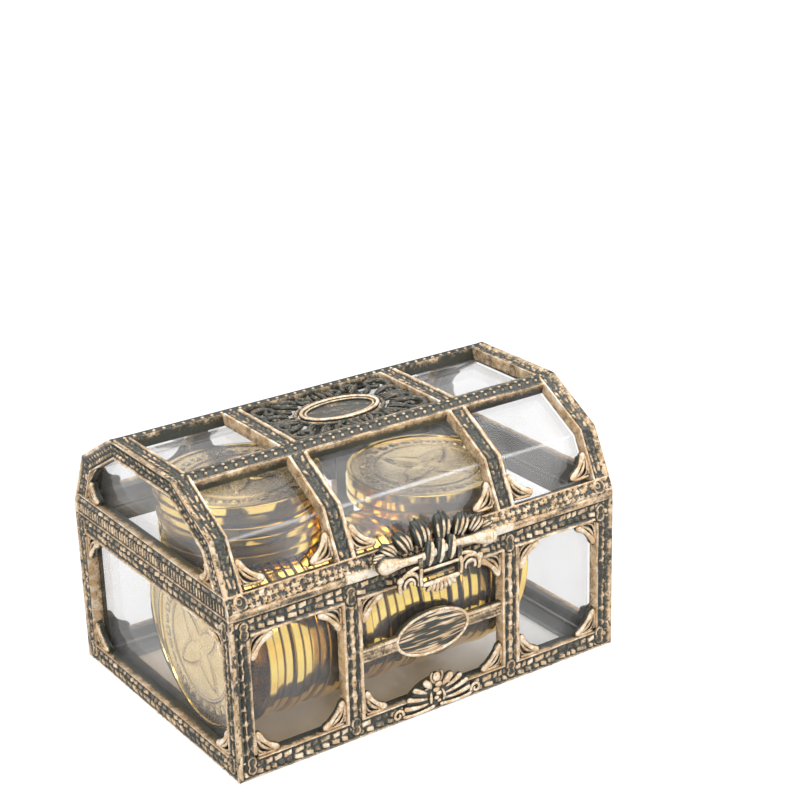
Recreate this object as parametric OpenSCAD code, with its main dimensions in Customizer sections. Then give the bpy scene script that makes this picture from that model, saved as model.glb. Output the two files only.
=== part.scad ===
// Clear-walled treasure chest ornament: a clear liner box dressed with an antiqued openwork frame,
// and a hinged faceted lid with a clasp over a heap of loose play coins. Millimetres, +Z up, the
// front with the clasp faces -Y, and the origin is at the middle of the footprint on the ground.

/* [Chest] */
// Overall width, left to right
chest_w = 96; // [90:1:110]
// Depth of the frame, front face to back face
chest_d = 67; // [64:1:76]
// Height of the base, ground to seam
base_h = 35.4; // [35:0.2:38]
// Height of the shut chest
chest_h = 58.8; // [58:0.2:64]

/* [Frame] */
// Thickness of the frame bars, outer face to liner
frame_t = 2.6; // [2:0.1:3]
// Width of the corner posts
corner_w = 4.2; // [3.6:0.1:5]
// Width of the intermediate posts and ribs
rib_w = 4.4; // [3.6:0.1:5]
// Distance of the intermediate posts and ribs from the middle
rib_x = 20; // [18:0.5:22]
// Height of the bottom rail of the base
foot_h = 4.2; // [3.6:0.1:5]
// Height of the top rail of the base
head_h = 4; // [3.6:0.1:4.4]
// Leg length of the leaf brackets in the window corners
bracket_leg = 5.6; // [4:0.1:6.5]

/* [Lid] */
// Height of the lid's bottom rail above the seam
skirt_h = 5; // [4.4:0.1:5.6]
// Height of the upright part of the lid's front above the seam
lip_h = 2.4; // [2:0.1:3]
// Distance of the bend from the middle, front to back
bend_y = 27.4; // [26:0.2:28.4]
// Height of the bend above the seam
bend_h = 15.2; // [14:0.2:16]
// Half width of the flat crown, front to back
crown_y = 13.2; // [12:0.2:14]
// Width of the crown rails on top and on the slope
crown_rail = 2; // [1.6:0.1:2.6]
// Gap between the shut lid and the base
seam_gap = 0.12; // [0.1:0.02:0.2]

/* [Liner] */
// Wall of the clear liners
wall_t = 1; // [0.8:0.1:1.2]
// Clearance between a liner and its frame
liner_gap = 0.1; // [0.05:0.01:0.15]
// Height of the flange that carries the liner's floor
flange_h = 1.2; // [1:0.1:1.5]

/* [Clasp and hinge] */
// How far the clasp and the hinges stand out of the frame's faces
reach = 3.3; // [3.2:0.1:3.6]
// Diameter of the hinge pins
pin_d = 1.4; // [1.2:0.1:1.5]
// Radial running clearance round a hinge pin
pin_fit = 0.05; // [0.02:0.01:0.08]
// Diameter of the hinge knuckles
knuckle_d = 3; // [2.8:0.1:3]
// Distance of the hinges from the middle
hinge_x = 20; // [16:0.5:24]

/* [Coins] */
// Diameter of a coin
coin_d = 35; // [34:0.5:35]
// Thickness of a coin
coin_t = 1.8; // [1.6:0.1:1.8]
// Spacing of the coins that stand on edge
row_pitch = 2.1; // [2.1:0.05:2.2]
// Lean of the last coin that stands on edge
row_lean = 15; // [5:1:16]

/* [Hidden] */
$fn = 64;

frame_color = [0.30, 0.29, 0.25];
leaf_color = [0.72, 0.58, 0.43];
clear_color = [0.85, 0.88, 0.9, 0.35];
coin_color = [0.85, 0.65, 0.2];
steel_color = [0.7, 0.7, 0.72];

half_w = chest_w / 2;
half_d = chest_d / 2;
cut = 20;                               // overshoot of a cutting tool
inner_w = half_w - frame_t;             // half width inside the frame
inner_d = half_d - frame_t;             // half depth inside the frame
liner_w = inner_w - liner_gap;          // half width of a liner, outside
liner_d = inner_d - liner_gap;          // half depth of a liner, outside
floor_z = flange_h + wall_t;            // top of the liner's floor
flange_w = 7.5;                         // width of the flange, from the frame's outer face
window_top = base_h - head_h;
seam_z = base_h + seam_gap;             // underside of the lid frame
skirt_z = base_h + skirt_h;
lip_z = base_h + lip_h;
bend_z = base_h + bend_h;
arch_w = 4;                             // width of the band round a lid end's window

// Window spans along X: outer left, middle, outer right
spans = [
    [-half_w + corner_w, -rib_x - rib_w / 2],
    [-rib_x + rib_w / 2, rib_x - rib_w / 2],
    [rib_x + rib_w / 2, half_w - corner_w]
];
end_span = half_d - corner_w + 0.4;     // half length of a base end's window

bracket_t = 1.8;                        // thickness of a leaf bracket
bracket_set = 0.3;                      // how far a bracket sits behind the frame's face

// Strap across the front's middle window, and the plaque in it
strap_h = 3.1;
strap_t = 1.3;
strap_back = 1.8;                       // depth of their backs behind the frame's face
plaque_back = 2.2;
plaque_t = 1.7;
plaque_z = 18.1;
plaque_r = [9.4, 5.1];

// Crest on the bottom rail
crest_z = 1;
crest_r = [8.8, 8.4];
crest_petals = 9;
crest_out = 0.8;                        // how far it stands out of the rail
crest_back = 1.6;                       // how deep it fills in above the rail
crest_scroll = [10, 2];

// Lower slope of the lid
slope_lean = atan2(half_d - bend_y, bend_z - lip_z);
slope_foot_y = half_d - (skirt_z - lip_z) * tan(slope_lean);

// Openwork panel in the crown
filigree_t = 1.8;
filigree_z = chest_h - 0.4 - filigree_t;
cartouche = [9.6, 5.9];
cartouche_rim = 1.1;
cartouche_t = 1.1;                      // thickness of the oval inside its rim
stem_w = 0.9;
filigree_scrolls = [                    // place and radius of each scroll in one quarter
    [14.3, 7.7, 3.6], [14.3, 7.7, 1.8], [4.4, 8.7, 2.5], [8.9, 8.6, 2.5], [14.8, 2.1, 2.6]
];

// Catch and clasp
nub_z = base_h - 2.1;
nub_out = 1.1;
clasp_back = 0.4;                       // gap between the hanging clasp and the base
slot_w = 8.6;
slot_h = 2.6;
slot_bar = 1.1;                         // height of the bar under the slot
slot_side = 1.2;                        // width of the bars beside the slot
slot_foot = nub_z - slot_h / 2 - slot_bar;
clasp_bar_z = base_h + 2.2;
clasp_half = 13.2;
bar_r = 1.4;
knob_r = 1.7;
fan_t = 2;
clasp_fans = [                          // place, length and turn of the middle fan and of one side's
    [0, 4, 4.6, 0], [4.6, 3.4, 4.2, -25], [8.4, 2, 3.6, -50]
];

// Hinge
pin_y = half_d + reach - knuckle_d / 2;
pin_z = base_h;
bore_d = pin_d + 2 * pin_fit;
side_w = 3;                             // width of each base knuckle
mid_w = 4;                              // width of the lid knuckle between them
side_gap = 0.2;
leaf_t = 0.8;
leaf_h = 3.4;
hinge_w = 2 * side_w + mid_w + 2 * side_gap;

// Standing row of coins
coin_r = coin_d / 2;
coin_rim = 1.3;
coin_dish = 0.2;                        // depth of a coin's face behind its rim
row_y = -11.8;                          // middle of the row, front to back
row_x = -half_w + frame_t + wall_t + 1.5;
row_first_lean = 20;                    // coins before this one stand upright
row_counts = [0, 11, 22, 32];           // first coin of each third of the row, and the total
stray_y = 7.6;                          // how far the second and third coins sit back

// Lying coins: middle of each stack, and its coins
heap_pitch = 2.2;
heap_z = floor_z + coin_d + 0.25;       // underside of the lowest lying coin
heap_left = [-26.2, -1.5];
heap_middle = [16.4, -8.2];
heap_left_count = 6;
heap_middle_count = 3;

// ---------------------------------------------------------------- helpers

function unit(v) = v / norm(v);
function outward(a, b) = let (d = unit(b - a)) [d[1], -d[0]];

// A counter-clockwise outline moved inwards by t on every edge
function inset(path, t) = let (n = len(path)) [
    for (i = [0:n - 1])
        let (a = outward(path[(i + n - 1) % n], path[i]), b = outward(path[i], path[(i + 1) % n]))
            path[i] - t * (a + b) / (1 + a * b)
];

function ellipse(rx, ry, steps = 48) = [
    for (i = [0:steps - 1]) [rx * cos(i * 360 / steps), ry * sin(i * 360 / steps)]
];

// The lid's outline in the YZ plane, from bottom_z up
function lid_outline(bottom_z) = [
    [-half_d, bottom_z], [half_d, bottom_z], [half_d, lip_z], [bend_y, bend_z], [crown_y, chest_h],
    [-crown_y, chest_h], [-bend_y, bend_z], [-half_d, lip_z]
];

// Outline of a lid end's window; the bottom rail cuts it off at skirt_z
end_window = inset(lid_outline(seam_z - cut), arch_w);

// Extrude a YZ outline along X
module prism(outline, x0, x1)
    translate([x0, 0, 0]) rotate([90, 0, 90]) linear_extrude(x1 - x0) polygon(outline);

// A box from its two corners
module block(low, high)
    translate(low) cube(high - low);

// A flat XZ shape whose back lies at depth y and which is t thick towards the front
module on_front(y, t)
    translate([0, -y, 0]) rotate([90, 0, 0]) linear_extrude(t) children();

module on_left(x, t)
    translate([-x, 0, 0]) rotate([90, 0, -90]) linear_extrude(t) children();

module on_both_sides(axis) {
    children();
    mirror(axis) children();
}

// Leaf bracket outline: a corner gusset with a hollow arc, its corner at the origin
module gusset(leg = bracket_leg)
    difference() {
        square(leg);
        translate([leg + 0.6, leg + 0.6]) circle(leg - 1);
    }

module gussets_in(x0, x1, z0, z1, leg = bracket_leg) {
    translate([x0, z0]) gusset(leg);
    translate([x1, z0]) mirror([1, 0]) gusset(leg);
    translate([x0, z1]) mirror([0, 1]) gusset(leg);
    translate([x1, z1]) mirror([1, 0]) mirror([0, 1]) gusset(leg);
}

module scroll(x, y, r, w)
    translate([x, y])
    difference() {
        circle(r);
        circle(r - w);
    }

// ---------------------------------------------------------------- base

module base_frame()
    color(frame_color)
    difference() {
        block([-half_w, -half_d, 0], [half_w, half_d, base_h]);
        block([-inner_w, -inner_d, flange_h], [inner_w, inner_d, base_h + cut]);
        block([flange_w - half_w, flange_w - half_d, -cut], [half_w - flange_w, half_d - flange_w, cut]);
        for (s = spans)
            block([s[0], -half_d - cut, foot_h], [s[1], half_d + cut, window_top]);
        block([-half_w - cut, -end_span, foot_h], [half_w + cut, end_span, window_top]);
    }

module base_liner()
    color(clear_color)
    difference() {
        block([-liner_w, -liner_d, flange_h], [liner_w, liner_d, base_h - 0.3]);
        block([wall_t - liner_w, wall_t - liner_d, floor_z], [liner_w - wall_t, liner_d - wall_t, base_h]);
    }

module catch_nub()
    color(frame_color)
    on_front(half_d, nub_out) translate([0, nub_z]) polygon(ellipse(2.6, 0.85));

module front_strap()
    color(leaf_color)
    on_front(half_d - strap_back, strap_t)
    difference() {
        translate([spans[1][0], plaque_z - strap_h / 2]) square([spans[1][1] - spans[1][0], strap_h]);
        translate([0, plaque_z]) polygon(ellipse(plaque_r[0], plaque_r[1]));
    }

module strap_plaque()
    color(frame_color)
    on_front(half_d - plaque_back, plaque_t)
    translate([0, plaque_z]) polygon(ellipse(plaque_r[0], plaque_r[1]));

// Outline of a fan of petals, its flat side along X
function fan(rx, ry, petals, dip, steps = 72) = [
    for (i = [0:steps])
        let (a = i * 180 / steps, r = 1 - dip * (1 - abs(sin(a * petals))))
            [rx * r * cos(a), ry * r * sin(a)]
];

// Fan of petals over the bottom rail, filled in behind above the rail, with a scroll at each side
module bottom_crest()
    color(leaf_color) {
        crest_fan = fan(crest_r[0], crest_r[1], crest_petals, 0.12);
        on_front(half_d, crest_out) translate([0, crest_z]) polygon(crest_fan);
        on_front(half_d - crest_back, crest_back)
        intersection() {
            translate([0, crest_z]) polygon(crest_fan);
            translate([-cut, foot_h]) square([2 * cut, cut]);
        }
        on_both_sides([1, 0, 0])
        on_front(half_d, crest_out) scroll(crest_scroll[0], crest_scroll[1], 1.6, 1);
    }

module base_brackets_front()
    color(leaf_color)
    on_front(half_d - bracket_set - bracket_t, bracket_t)
    for (s = spans)
        gussets_in(s[0], s[1], foot_h, window_top);

module base_brackets_back()
    mirror([0, 1, 0]) base_brackets_front();

module base_brackets_left()
    color(leaf_color)
    on_left(half_w - bracket_set - bracket_t, bracket_t)
    gussets_in(-end_span, end_span, foot_h, window_top);

module base_brackets_right()
    mirror([1, 0, 0]) base_brackets_left();

// ---------------------------------------------------------------- hinges

module knuckle(x0, width, up)
    translate([x0, pin_y, pin_z])
    rotate([0, 90, 0])
    difference() {
        union() {
            cylinder(h = width, d = knuckle_d);
            translate([up ? -leaf_h : 0, half_d - pin_y, 0]) cube([leaf_h, leaf_t, width]);
            translate([up ? -knuckle_d / 2 : 0, half_d - pin_y, 0]) cube([knuckle_d / 2, pin_y - half_d, width]);
        }
        translate([0, 0, -cut]) cylinder(h = width + 2 * cut, d = bore_d);
    }

// Two knuckles on a leaf against the back of the base's top rail
module hinge_leaf_base(x)
    color(frame_color) {
        knuckle(x - hinge_w / 2, side_w, false);
        knuckle(x + hinge_w / 2 - side_w, side_w, false);
        block([x - hinge_w / 2, half_d, base_h - leaf_h], [x + hinge_w / 2, half_d + leaf_t, base_h - 1.9]);
    }

module hinge_leaf_base_left() hinge_leaf_base(-hinge_x);
module hinge_leaf_base_right() hinge_leaf_base(hinge_x);

// One knuckle on the back of the lid's bottom rail
module hinge_leaf_lid(x)
    color(frame_color) knuckle(x - mid_w / 2, mid_w, true);

module hinge_leaf_lid_left() hinge_leaf_lid(-hinge_x);
module hinge_leaf_lid_right() hinge_leaf_lid(hinge_x);

module hinge_pin(x)
    color(steel_color)
    translate([x - hinge_w / 2, pin_y, pin_z]) rotate([0, 90, 0]) cylinder(h = hinge_w, d = pin_d);

module hinge_pin_left() hinge_pin(-hinge_x);
module hinge_pin_right() hinge_pin(hinge_x);

// ---------------------------------------------------------------- coins

// A coin lying about the origin, with a raised rim on both faces
module coin()
    rotate_extrude()
    polygon([
        [0, -coin_t / 2 + coin_dish], [coin_r - coin_rim, -coin_t / 2 + coin_dish],
        [coin_r - coin_rim, -coin_t / 2], [coin_r, -coin_t / 2],
        [coin_r, coin_t / 2], [coin_r - coin_rim, coin_t / 2],
        [coin_r - coin_rim, coin_t / 2 - coin_dish], [0, coin_t / 2 - coin_dish]
    ]);

// Lean of a standing coin: a slow fan at the right end, and a slight unevenness all along
function lean_of(i) = let (along = max(0, i - row_first_lean) / (row_counts[3] - 1 - row_first_lean))
    row_lean * pow(along, 1.5) + 0.18 * sin(i * 137);
function shift_of(i) = (i == 1 || i == 2) ? stray_y : 0.5 * sin(i * 97);

// Coins first to last of the row, each turned about its foot on the liner's floor
module coin_row(first, last)
    color(coin_color)
    for (i = [first:last])
        translate([row_x + i * row_pitch, row_y + shift_of(i), floor_z + 0.05])
        rotate([0, lean_of(i), 0])
        translate([0, 0, coin_r + coin_t * abs(sin(lean_of(i))) / 2])
        rotate([0, 90, 0])
        coin();

module coins_row_left() coin_row(row_counts[0], row_counts[1] - 1);
module coins_row_middle() coin_row(row_counts[1], row_counts[2] - 1);
module coins_row_right() coin_row(row_counts[2], row_counts[3] - 1);

module coin_stack(middle, count)
    color(coin_color)
    for (i = [0:count - 1])
        translate([middle[0] + 0.35 * sin(i * 150), middle[1] + 0.5 * sin(i * 110), 0])
        translate([0, 0, heap_z + coin_t / 2 + i * heap_pitch])
        rotate([0.5 * sin(i * 80), 0.5 * cos(i * 130) - 0.5, i * 47])
        coin();

module coins_heap_left() coin_stack(heap_left, heap_left_count);
module coins_heap_middle() coin_stack(heap_middle, heap_middle_count);

// ---------------------------------------------------------------- lid

// Slope windows run from the bottom rail over the bend to the crown rail
module slope_window(s)
    block([s[0], -half_d - cut, skirt_z], [s[1], -crown_y - crown_rail, chest_h + cut]);

module lid_frame()
    color(frame_color)
    difference() {
        prism(lid_outline(seam_z), -half_w, half_w);
        prism(inset(lid_outline(seam_z - cut), frame_t), -inner_w, inner_w);
        on_both_sides([0, 1, 0]) for (s = spans) slope_window(s);
        for (s = spans)
            block([s[0], crown_rail - crown_y, chest_h - cut], [s[1], crown_y - crown_rail, chest_h + cut]);
        on_both_sides([1, 0, 0])
        intersection() {
            prism(end_window, inner_w - 1, half_w + cut);
            block([0, -half_d, skirt_z], [half_w + 2 * cut, half_d, chest_h]);
        }
    }

module lid_liner()
    color(clear_color)
    difference() {
        intersection() {
            prism(inset(lid_outline(seam_z - cut), frame_t + liner_gap), -liner_w, liner_w);
            block([-half_w, -half_d, base_h + 0.3], [half_w, half_d, chest_h]);
        }
        prism(inset(lid_outline(seam_z - cut), frame_t + liner_gap + wall_t), wall_t - liner_w, liner_w - wall_t);
    }

// Openwork panel in the middle window of the crown: scrolls round an oval, and stems that carry it
module filigree_quarter() {
    for (s = filigree_scrolls)
        scroll(s[0], s[1], s[2], stem_w);
    translate([filigree_scrolls[0][0], filigree_scrolls[0][1]]) rotate(45) square([5.6, stem_w], center = true);
    translate([0, cartouche[1]]) square([2.4, crown_y - crown_rail - cartouche[1]]);
    translate([cartouche[0], 0]) square([spans[1][1] - cartouche[0], stem_w]);
}

module lid_filigree()
    color(leaf_color)
    translate([0, 0, filigree_z])
    linear_extrude(filigree_t)
    difference() {
        intersection() {
            union() {
                on_both_sides([1, 0]) on_both_sides([0, 1]) filigree_quarter();
                polygon(ellipse(cartouche[0] + 1, cartouche[1] + 1));
            }
            square([spans[1][1] - spans[1][0], 2 * (crown_y - crown_rail)], center = true);
        }
        polygon(ellipse(cartouche[0], cartouche[1]));
    }

module crown_cartouche()
    color(frame_color)
    translate([0, 0, filigree_z]) {
        linear_extrude(cartouche_t) polygon(ellipse(cartouche[0], cartouche[1]));
        translate([0, 0, cartouche_t])
        linear_extrude(filigree_t - cartouche_t)
        difference() {
            polygon(ellipse(cartouche[0], cartouche[1]));
            polygon(ellipse(cartouche[0] - cartouche_rim, cartouche[1] - cartouche_rim));
        }
    }

// Lid brackets lie along the slope in the lower corners of its windows, cut level at the bottom rail
module lid_brackets_front()
    color(leaf_color)
    intersection() {
        translate([0, -slope_foot_y, skirt_z])
        rotate([-slope_lean, 0, 0])
        on_front(-bracket_set - bracket_t, bracket_t)
        for (s = spans) {
            translate([s[0], 0]) gusset(bracket_leg + 1);
            translate([s[1], 0]) mirror([1, 0]) gusset(bracket_leg + 1);
        }
        block([-half_w, -half_d, skirt_z], [half_w, 0, chest_h]);
    }

module lid_brackets_back()
    mirror([0, 1, 0]) lid_brackets_front();

// Lower corners of a lid end's window, cut to the slope of its sides
module lid_brackets_left()
    color(leaf_color)
    on_left(half_w - bracket_set - bracket_t, bracket_t)
    intersection() {
        polygon(end_window);
        gussets_in(-half_d + arch_w + 1.9, half_d - arch_w - 1.9, skirt_z, 4 * cut, bracket_leg + 0.6);
    }

module lid_brackets_right()
    mirror([1, 0, 0]) lid_brackets_left();

module clasp_fan(x, z, r, turn)
    translate([x, z]) rotate(turn) polygon(ellipse(0.62 * r, r, 24));

// Clasp: shell fans over a knobbed bar, and a slotted plate that hangs over the catch
module clasp()
    color(leaf_color) {
        translate([0, -half_d, lip_z]) rotate([-slope_lean, 0, 0])
        on_front(0, fan_t)
        for (f = clasp_fans, side = f[0] > 0 ? [-1, 1] : [1])
            clasp_fan(side * f[0], f[1], f[2], side * f[3]);
        translate([-clasp_half, -half_d - bar_r, clasp_bar_z])
            rotate([0, 90, 0]) cylinder(h = 2 * clasp_half, r = bar_r);
        on_both_sides([1, 0, 0]) translate([clasp_half, knob_r - half_d - reach, clasp_bar_z]) sphere(knob_r);
        on_front(half_d + clasp_back + 0.9, reach - clasp_back - 0.9)
        difference() {
            union() {
                translate([-slot_w / 2 - slot_side, slot_foot])
                    square([slot_w + 2 * slot_side, clasp_bar_z - slot_foot]);
                translate([0, slot_foot]) mirror([0, 1]) polygon(fan(4.4, 2.6, 5, 0.15));
                on_both_sides([1, 0]) scroll(slot_w / 2 + 2 * slot_side, nub_z - 0.6, 2.2, 1);
            }
            translate([-slot_w / 2, nub_z - slot_h / 2]) square([slot_w, slot_h]);
        }
        block([-slot_w / 2 - slot_side, -half_d - clasp_back - 1.6, clasp_bar_z - slot_side],
              [slot_w / 2 + slot_side, -half_d, clasp_bar_z + slot_side]);
    }

// ---------------------------------------------------------------- nodes

base_frame();
base_liner();
catch_nub();
front_strap();
strap_plaque();
bottom_crest();
base_brackets_front();
base_brackets_back();
base_brackets_left();
base_brackets_right();
hinge_leaf_base_left();
hinge_leaf_base_right();
hinge_pin_left();
hinge_pin_right();
coins_row_left();
coins_row_middle();
coins_row_right();
coins_heap_left();
coins_heap_middle();
lid_frame();
lid_liner();
lid_filigree();
crown_cartouche();
clasp();
lid_brackets_front();
lid_brackets_back();
lid_brackets_left();
lid_brackets_right();
hinge_leaf_lid_left();
hinge_leaf_lid_right();
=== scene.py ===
"""Looks of a clear-walled treasure chest ornament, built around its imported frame.

Shapes are worked in millimetres in a plane of their own (x along, y up, z out of the chest), then put
in place and turned into metres. The chest has a clear liner box in an antiqued openwork frame, a
faceted lid on two hinges, a shell clasp, and a hoard of play coins.
"""

import logging
import math
from collections.abc import Callable, Iterable, Sequence
from dataclasses import dataclass, field
from enum import Enum
from typing import ClassVar

import bmesh
import bpy
import numpy as np
from mathutils import Matrix, Vector

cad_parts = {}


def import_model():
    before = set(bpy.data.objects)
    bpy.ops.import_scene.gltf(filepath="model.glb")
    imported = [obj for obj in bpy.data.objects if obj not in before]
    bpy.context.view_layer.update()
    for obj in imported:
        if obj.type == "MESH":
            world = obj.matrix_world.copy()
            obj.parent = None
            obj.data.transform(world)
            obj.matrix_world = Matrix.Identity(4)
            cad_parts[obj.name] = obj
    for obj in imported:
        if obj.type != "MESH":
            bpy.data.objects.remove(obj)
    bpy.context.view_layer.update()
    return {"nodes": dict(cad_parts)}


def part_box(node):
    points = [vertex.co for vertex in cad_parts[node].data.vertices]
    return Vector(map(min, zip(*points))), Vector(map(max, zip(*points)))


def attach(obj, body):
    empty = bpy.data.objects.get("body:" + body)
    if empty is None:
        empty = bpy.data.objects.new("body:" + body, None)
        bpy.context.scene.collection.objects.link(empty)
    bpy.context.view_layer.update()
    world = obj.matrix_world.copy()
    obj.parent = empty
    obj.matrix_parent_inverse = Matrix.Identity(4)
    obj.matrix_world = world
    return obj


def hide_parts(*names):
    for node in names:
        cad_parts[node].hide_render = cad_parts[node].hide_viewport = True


LOG = logging.getLogger("treasure_chest")
MM = 0.001
ON_LINE = 1e-6
ON_KNOT = 1e-3
MERGE = 0.000002
Array = np.ndarray
Relief = tuple[Array, Array]


class Body(Enum):
    """The two bodies of the chest."""

    BASE = "base"
    LID = "lid"


class Slot(Enum):
    """Names of the material slots."""

    FRAME = "frame_plastic"
    RELIEF = "bronze_relief"
    CLEAR = "clear_plastic"
    COIN = "gold_coin"
    PIN = "pin_steel"


class Side(Enum):
    """The upright sides of the chest, as quarter turns from the front."""

    FRONT = 0
    RIGHT = 1
    BACK = 2
    LEFT = 3

    @property
    def word(self) -> str:
        """The side's name in small letters."""
        return self.name.lower()

    @property
    def is_long(self) -> bool:
        """True for the front and the back."""
        return self.value % 2 == 0

    @property
    def sign(self) -> int:
        """1 for the right end and -1 for the left."""
        return 1 if self is Side.RIGHT else -1

    @property
    def turn(self) -> Matrix:
        """The turn about the upright axis that brings the front to this side."""
        return Matrix.Rotation(self.value * math.pi / 2, 4, "Z")


# ------------------------------------------------------------------ sizes


@dataclass(frozen=True)
class ChestSize:
    """Sizes of the chest in millimetres. The frame gives most of them."""

    half_w: float
    half_d: float
    base_h: float
    top_z: float
    foot_z: float
    window_top: float
    window_x: float
    rib_in: float
    end_y: float
    seam_z: float
    skirt_z: float
    crown_window_y: float
    rib_w: float = 4.4
    wall: float = 2.6
    lip_h: float = 2.4
    bend_y: float = 27.4
    bend_h: float = 15.2
    crown_y: float = 13.2
    arch_w: float = 4.0

    @classmethod
    def from_frame(cls) -> "ChestSize":
        """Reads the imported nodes' boxes.

        Returns:
            The sizes of this chest.
        """
        low, high = {}, {}
        for node in ("base_frame", "lid_frame", "base_brackets_front", "base_brackets_left",
                     "front_strap", "lid_brackets_front", "lid_filigree"):
            low[node], high[node] = (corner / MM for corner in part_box(node))
        return cls(
            half_w=high["base_frame"].x,
            half_d=high["base_frame"].y,
            base_h=high["base_frame"].z,
            top_z=high["lid_frame"].z,
            foot_z=low["base_brackets_front"].z,
            window_top=high["base_brackets_front"].z,
            window_x=high["base_brackets_front"].x,
            rib_in=high["front_strap"].x,
            end_y=high["base_brackets_left"].y,
            seam_z=low["lid_frame"].z,
            skirt_z=low["lid_brackets_front"].z,
            crown_window_y=high["lid_filigree"].y,
        )

    @property
    def rib_out(self) -> float:
        """Outer edge of an intermediate post or rib."""
        return self.rib_in + self.rib_w

    @property
    def rib_x(self) -> float:
        """Middle of an intermediate post or rib."""
        return self.rib_in + self.rib_w / 2

    @property
    def knots(self) -> list[float]:
        """Where the corners, windows and ribs start and end along the chest."""
        half = [self.rib_in, self.rib_out, self.window_x, self.half_w]
        return [-x for x in reversed(half)] + half

    @property
    def spans(self) -> list[tuple[float, float]]:
        """The three windows along the chest."""
        return list(zip(self.knots[1:-1:2], self.knots[2:-1:2]))

    @property
    def outline(self) -> list[tuple[float, float]]:
        """The lid's profile as (y, z) points, from the front's seam over the crown to the back's."""
        front = [
            (-self.half_d, self.seam_z), (-self.half_d, self.base_h + self.lip_h),
            (-self.bend_y, self.base_h + self.bend_h), (-self.crown_y, self.top_z),
        ]
        return front + [(-y, z) for y, z in reversed(front)]


# ------------------------------------------------------------------ patterns


def smooth(distance: Array, width: float) -> Array:
    """A soft step from 0 to 1 across a width."""
    t = np.clip(distance / width, 0, 1)
    return t * t * (3 - 2 * t)


def groove(distance: Array, half_width: float, depth: float) -> Array:
    """What is left of a height beside a thin groove of that depth."""
    return 1 - depth * smooth(half_width - np.abs(distance), half_width)


def ridge(distance: Array, half_width: float, slope: float) -> Array:
    """Height of a thin ridge, from 0 to 1."""
    return smooth(half_width - np.abs(distance), slope)


def lay(over: Relief, under: Relief, where: Array) -> Relief:
    """Lays one relief over another in some places."""
    return tuple(np.where(where, a, b) for a, b in zip(over, under))


def dome(distance: Array, radius: float) -> Array:
    """The height of a half ball, 1 at its middle and 0 past its radius."""
    return np.sqrt(np.clip(1 - (distance / radius) ** 2, 0, 1))


def scatter(i: Array, j: Array, seed: float) -> Array:
    """A repeatable number from 0 to 1 for each pair of whole numbers."""
    x = np.sin(i * 127.1 + j * 311.7 + seed * 74.7) * 43758.5453
    return x - np.floor(x)


def grain(u: Array, v: Array, size: tuple[float, float], seed: float) -> Array:
    """Soft unevenness from 0 to 1.

    Args:
        u: Places along the first axis.
        v: Places along the second axis.
        size: Size of a patch along each axis.
        seed: Picks another pattern.

    Returns:
        One value for each place.
    """
    a, b = u / size[0], v / size[1]
    i, j = np.floor(a), np.floor(b)
    fa, fb = smooth(a - i, 1), smooth(b - j, 1)
    near = scatter(i, j, seed) * (1 - fa) + scatter(i + 1, j, seed) * fa
    far = scatter(i, j + 1, seed) * (1 - fa) + scatter(i + 1, j + 1, seed) * fa
    return near * (1 - fb) + far * fb


def bricks(along: Array, across: Array, length: float, pitch: float, seed: float) -> Array:
    """Height of woven blocks in staggered rows.

    Args:
        along: Places along the rows.
        across: Places across the rows, from the first row's edge.
        length: Length of a block.
        pitch: Height of a row.
        seed: Picks another pattern.

    Returns:
        Heights from 0, the gap, to 1.
    """
    row = np.floor(across / pitch)
    sway = grain(along + row * 13.0, row, (length * 1.7, 1.0), seed + 9) * 0.9
    place = along / length + row * 0.5 + sway
    block = np.floor(place)
    within = place - block - 0.5
    end = (0.5 - np.abs(within)) * length
    twist = 0.3 * within * np.where(row % 2 > 0, -1, 1)
    edge = (0.5 - np.abs(across / pitch - row - 0.5 + twist)) * pitch
    lift = 0.5 + 0.5 * scatter(block, row, seed)
    return smooth(np.minimum(end, edge) - 0.08, 0.36) * lift


def slots(along: Array, across: Array, half_width: float, period: float, phase: float) -> Array:
    """Depth of a chain of long oval hollows, from 0 to 1."""
    turn = along / period + phase
    near = (turn - np.floor(turn) - 0.5) * period
    away = np.hypot(across / half_width, near / (0.44 * period))
    return smooth(1.2 - away, 0.45)


def studs(along: Array, across: Array, pitch: float, radius: float) -> Array:
    """Height of a row of round studs."""
    near = (along / pitch - np.floor(along / pitch) - 0.5) * pitch
    return dome(np.hypot(near, across), radius)


def flowers(u: Array, v: Array, pitch: float, seed: float) -> Array:
    """Height of a scatter of five-petalled rosettes."""
    best = np.zeros_like(u)
    i, j = np.floor(u / pitch), np.floor(v / pitch)
    for di in (-1, 0, 1):
        for dj in (-1, 0, 1):
            a, b = i + di, j + dj
            du = u - (a + 0.2 + 0.6 * scatter(a, b, seed)) * pitch
            dv = v - (b + 0.2 + 0.6 * scatter(a, b, seed + 1)) * pitch
            angle = np.arctan2(dv, du) * 5 + scatter(a, b, seed + 2) * 6
            reach = pitch * (0.46 + 0.14 * np.cos(angle))
            away = np.hypot(du, dv) / reach
            best = np.maximum(best, smooth(1 - away, 0.45) * (0.45 + 0.55 * away))
    return np.clip(best * 1.5, 0, 1)


def scales(along: Array, across: Array, pitch: float, width: float) -> Array:
    """Height of overlapping scales that run along a rib."""
    column = np.round(across / width)
    t = along / pitch + 0.5 * (column % 2) - 0.35 * (across / width - column) ** 2 * 4
    tilt = t - np.floor(t)
    edge = np.abs(across / width - column)
    lift = 0.6 + 0.4 * scatter(np.floor(t), column, 17.0)
    return (0.2 + 0.8 * tilt) * smooth(0.5 - edge, 0.16) * smooth(1 - tilt, 0.2) * lift


# ------------------------------------------------------------------ finishes


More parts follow.
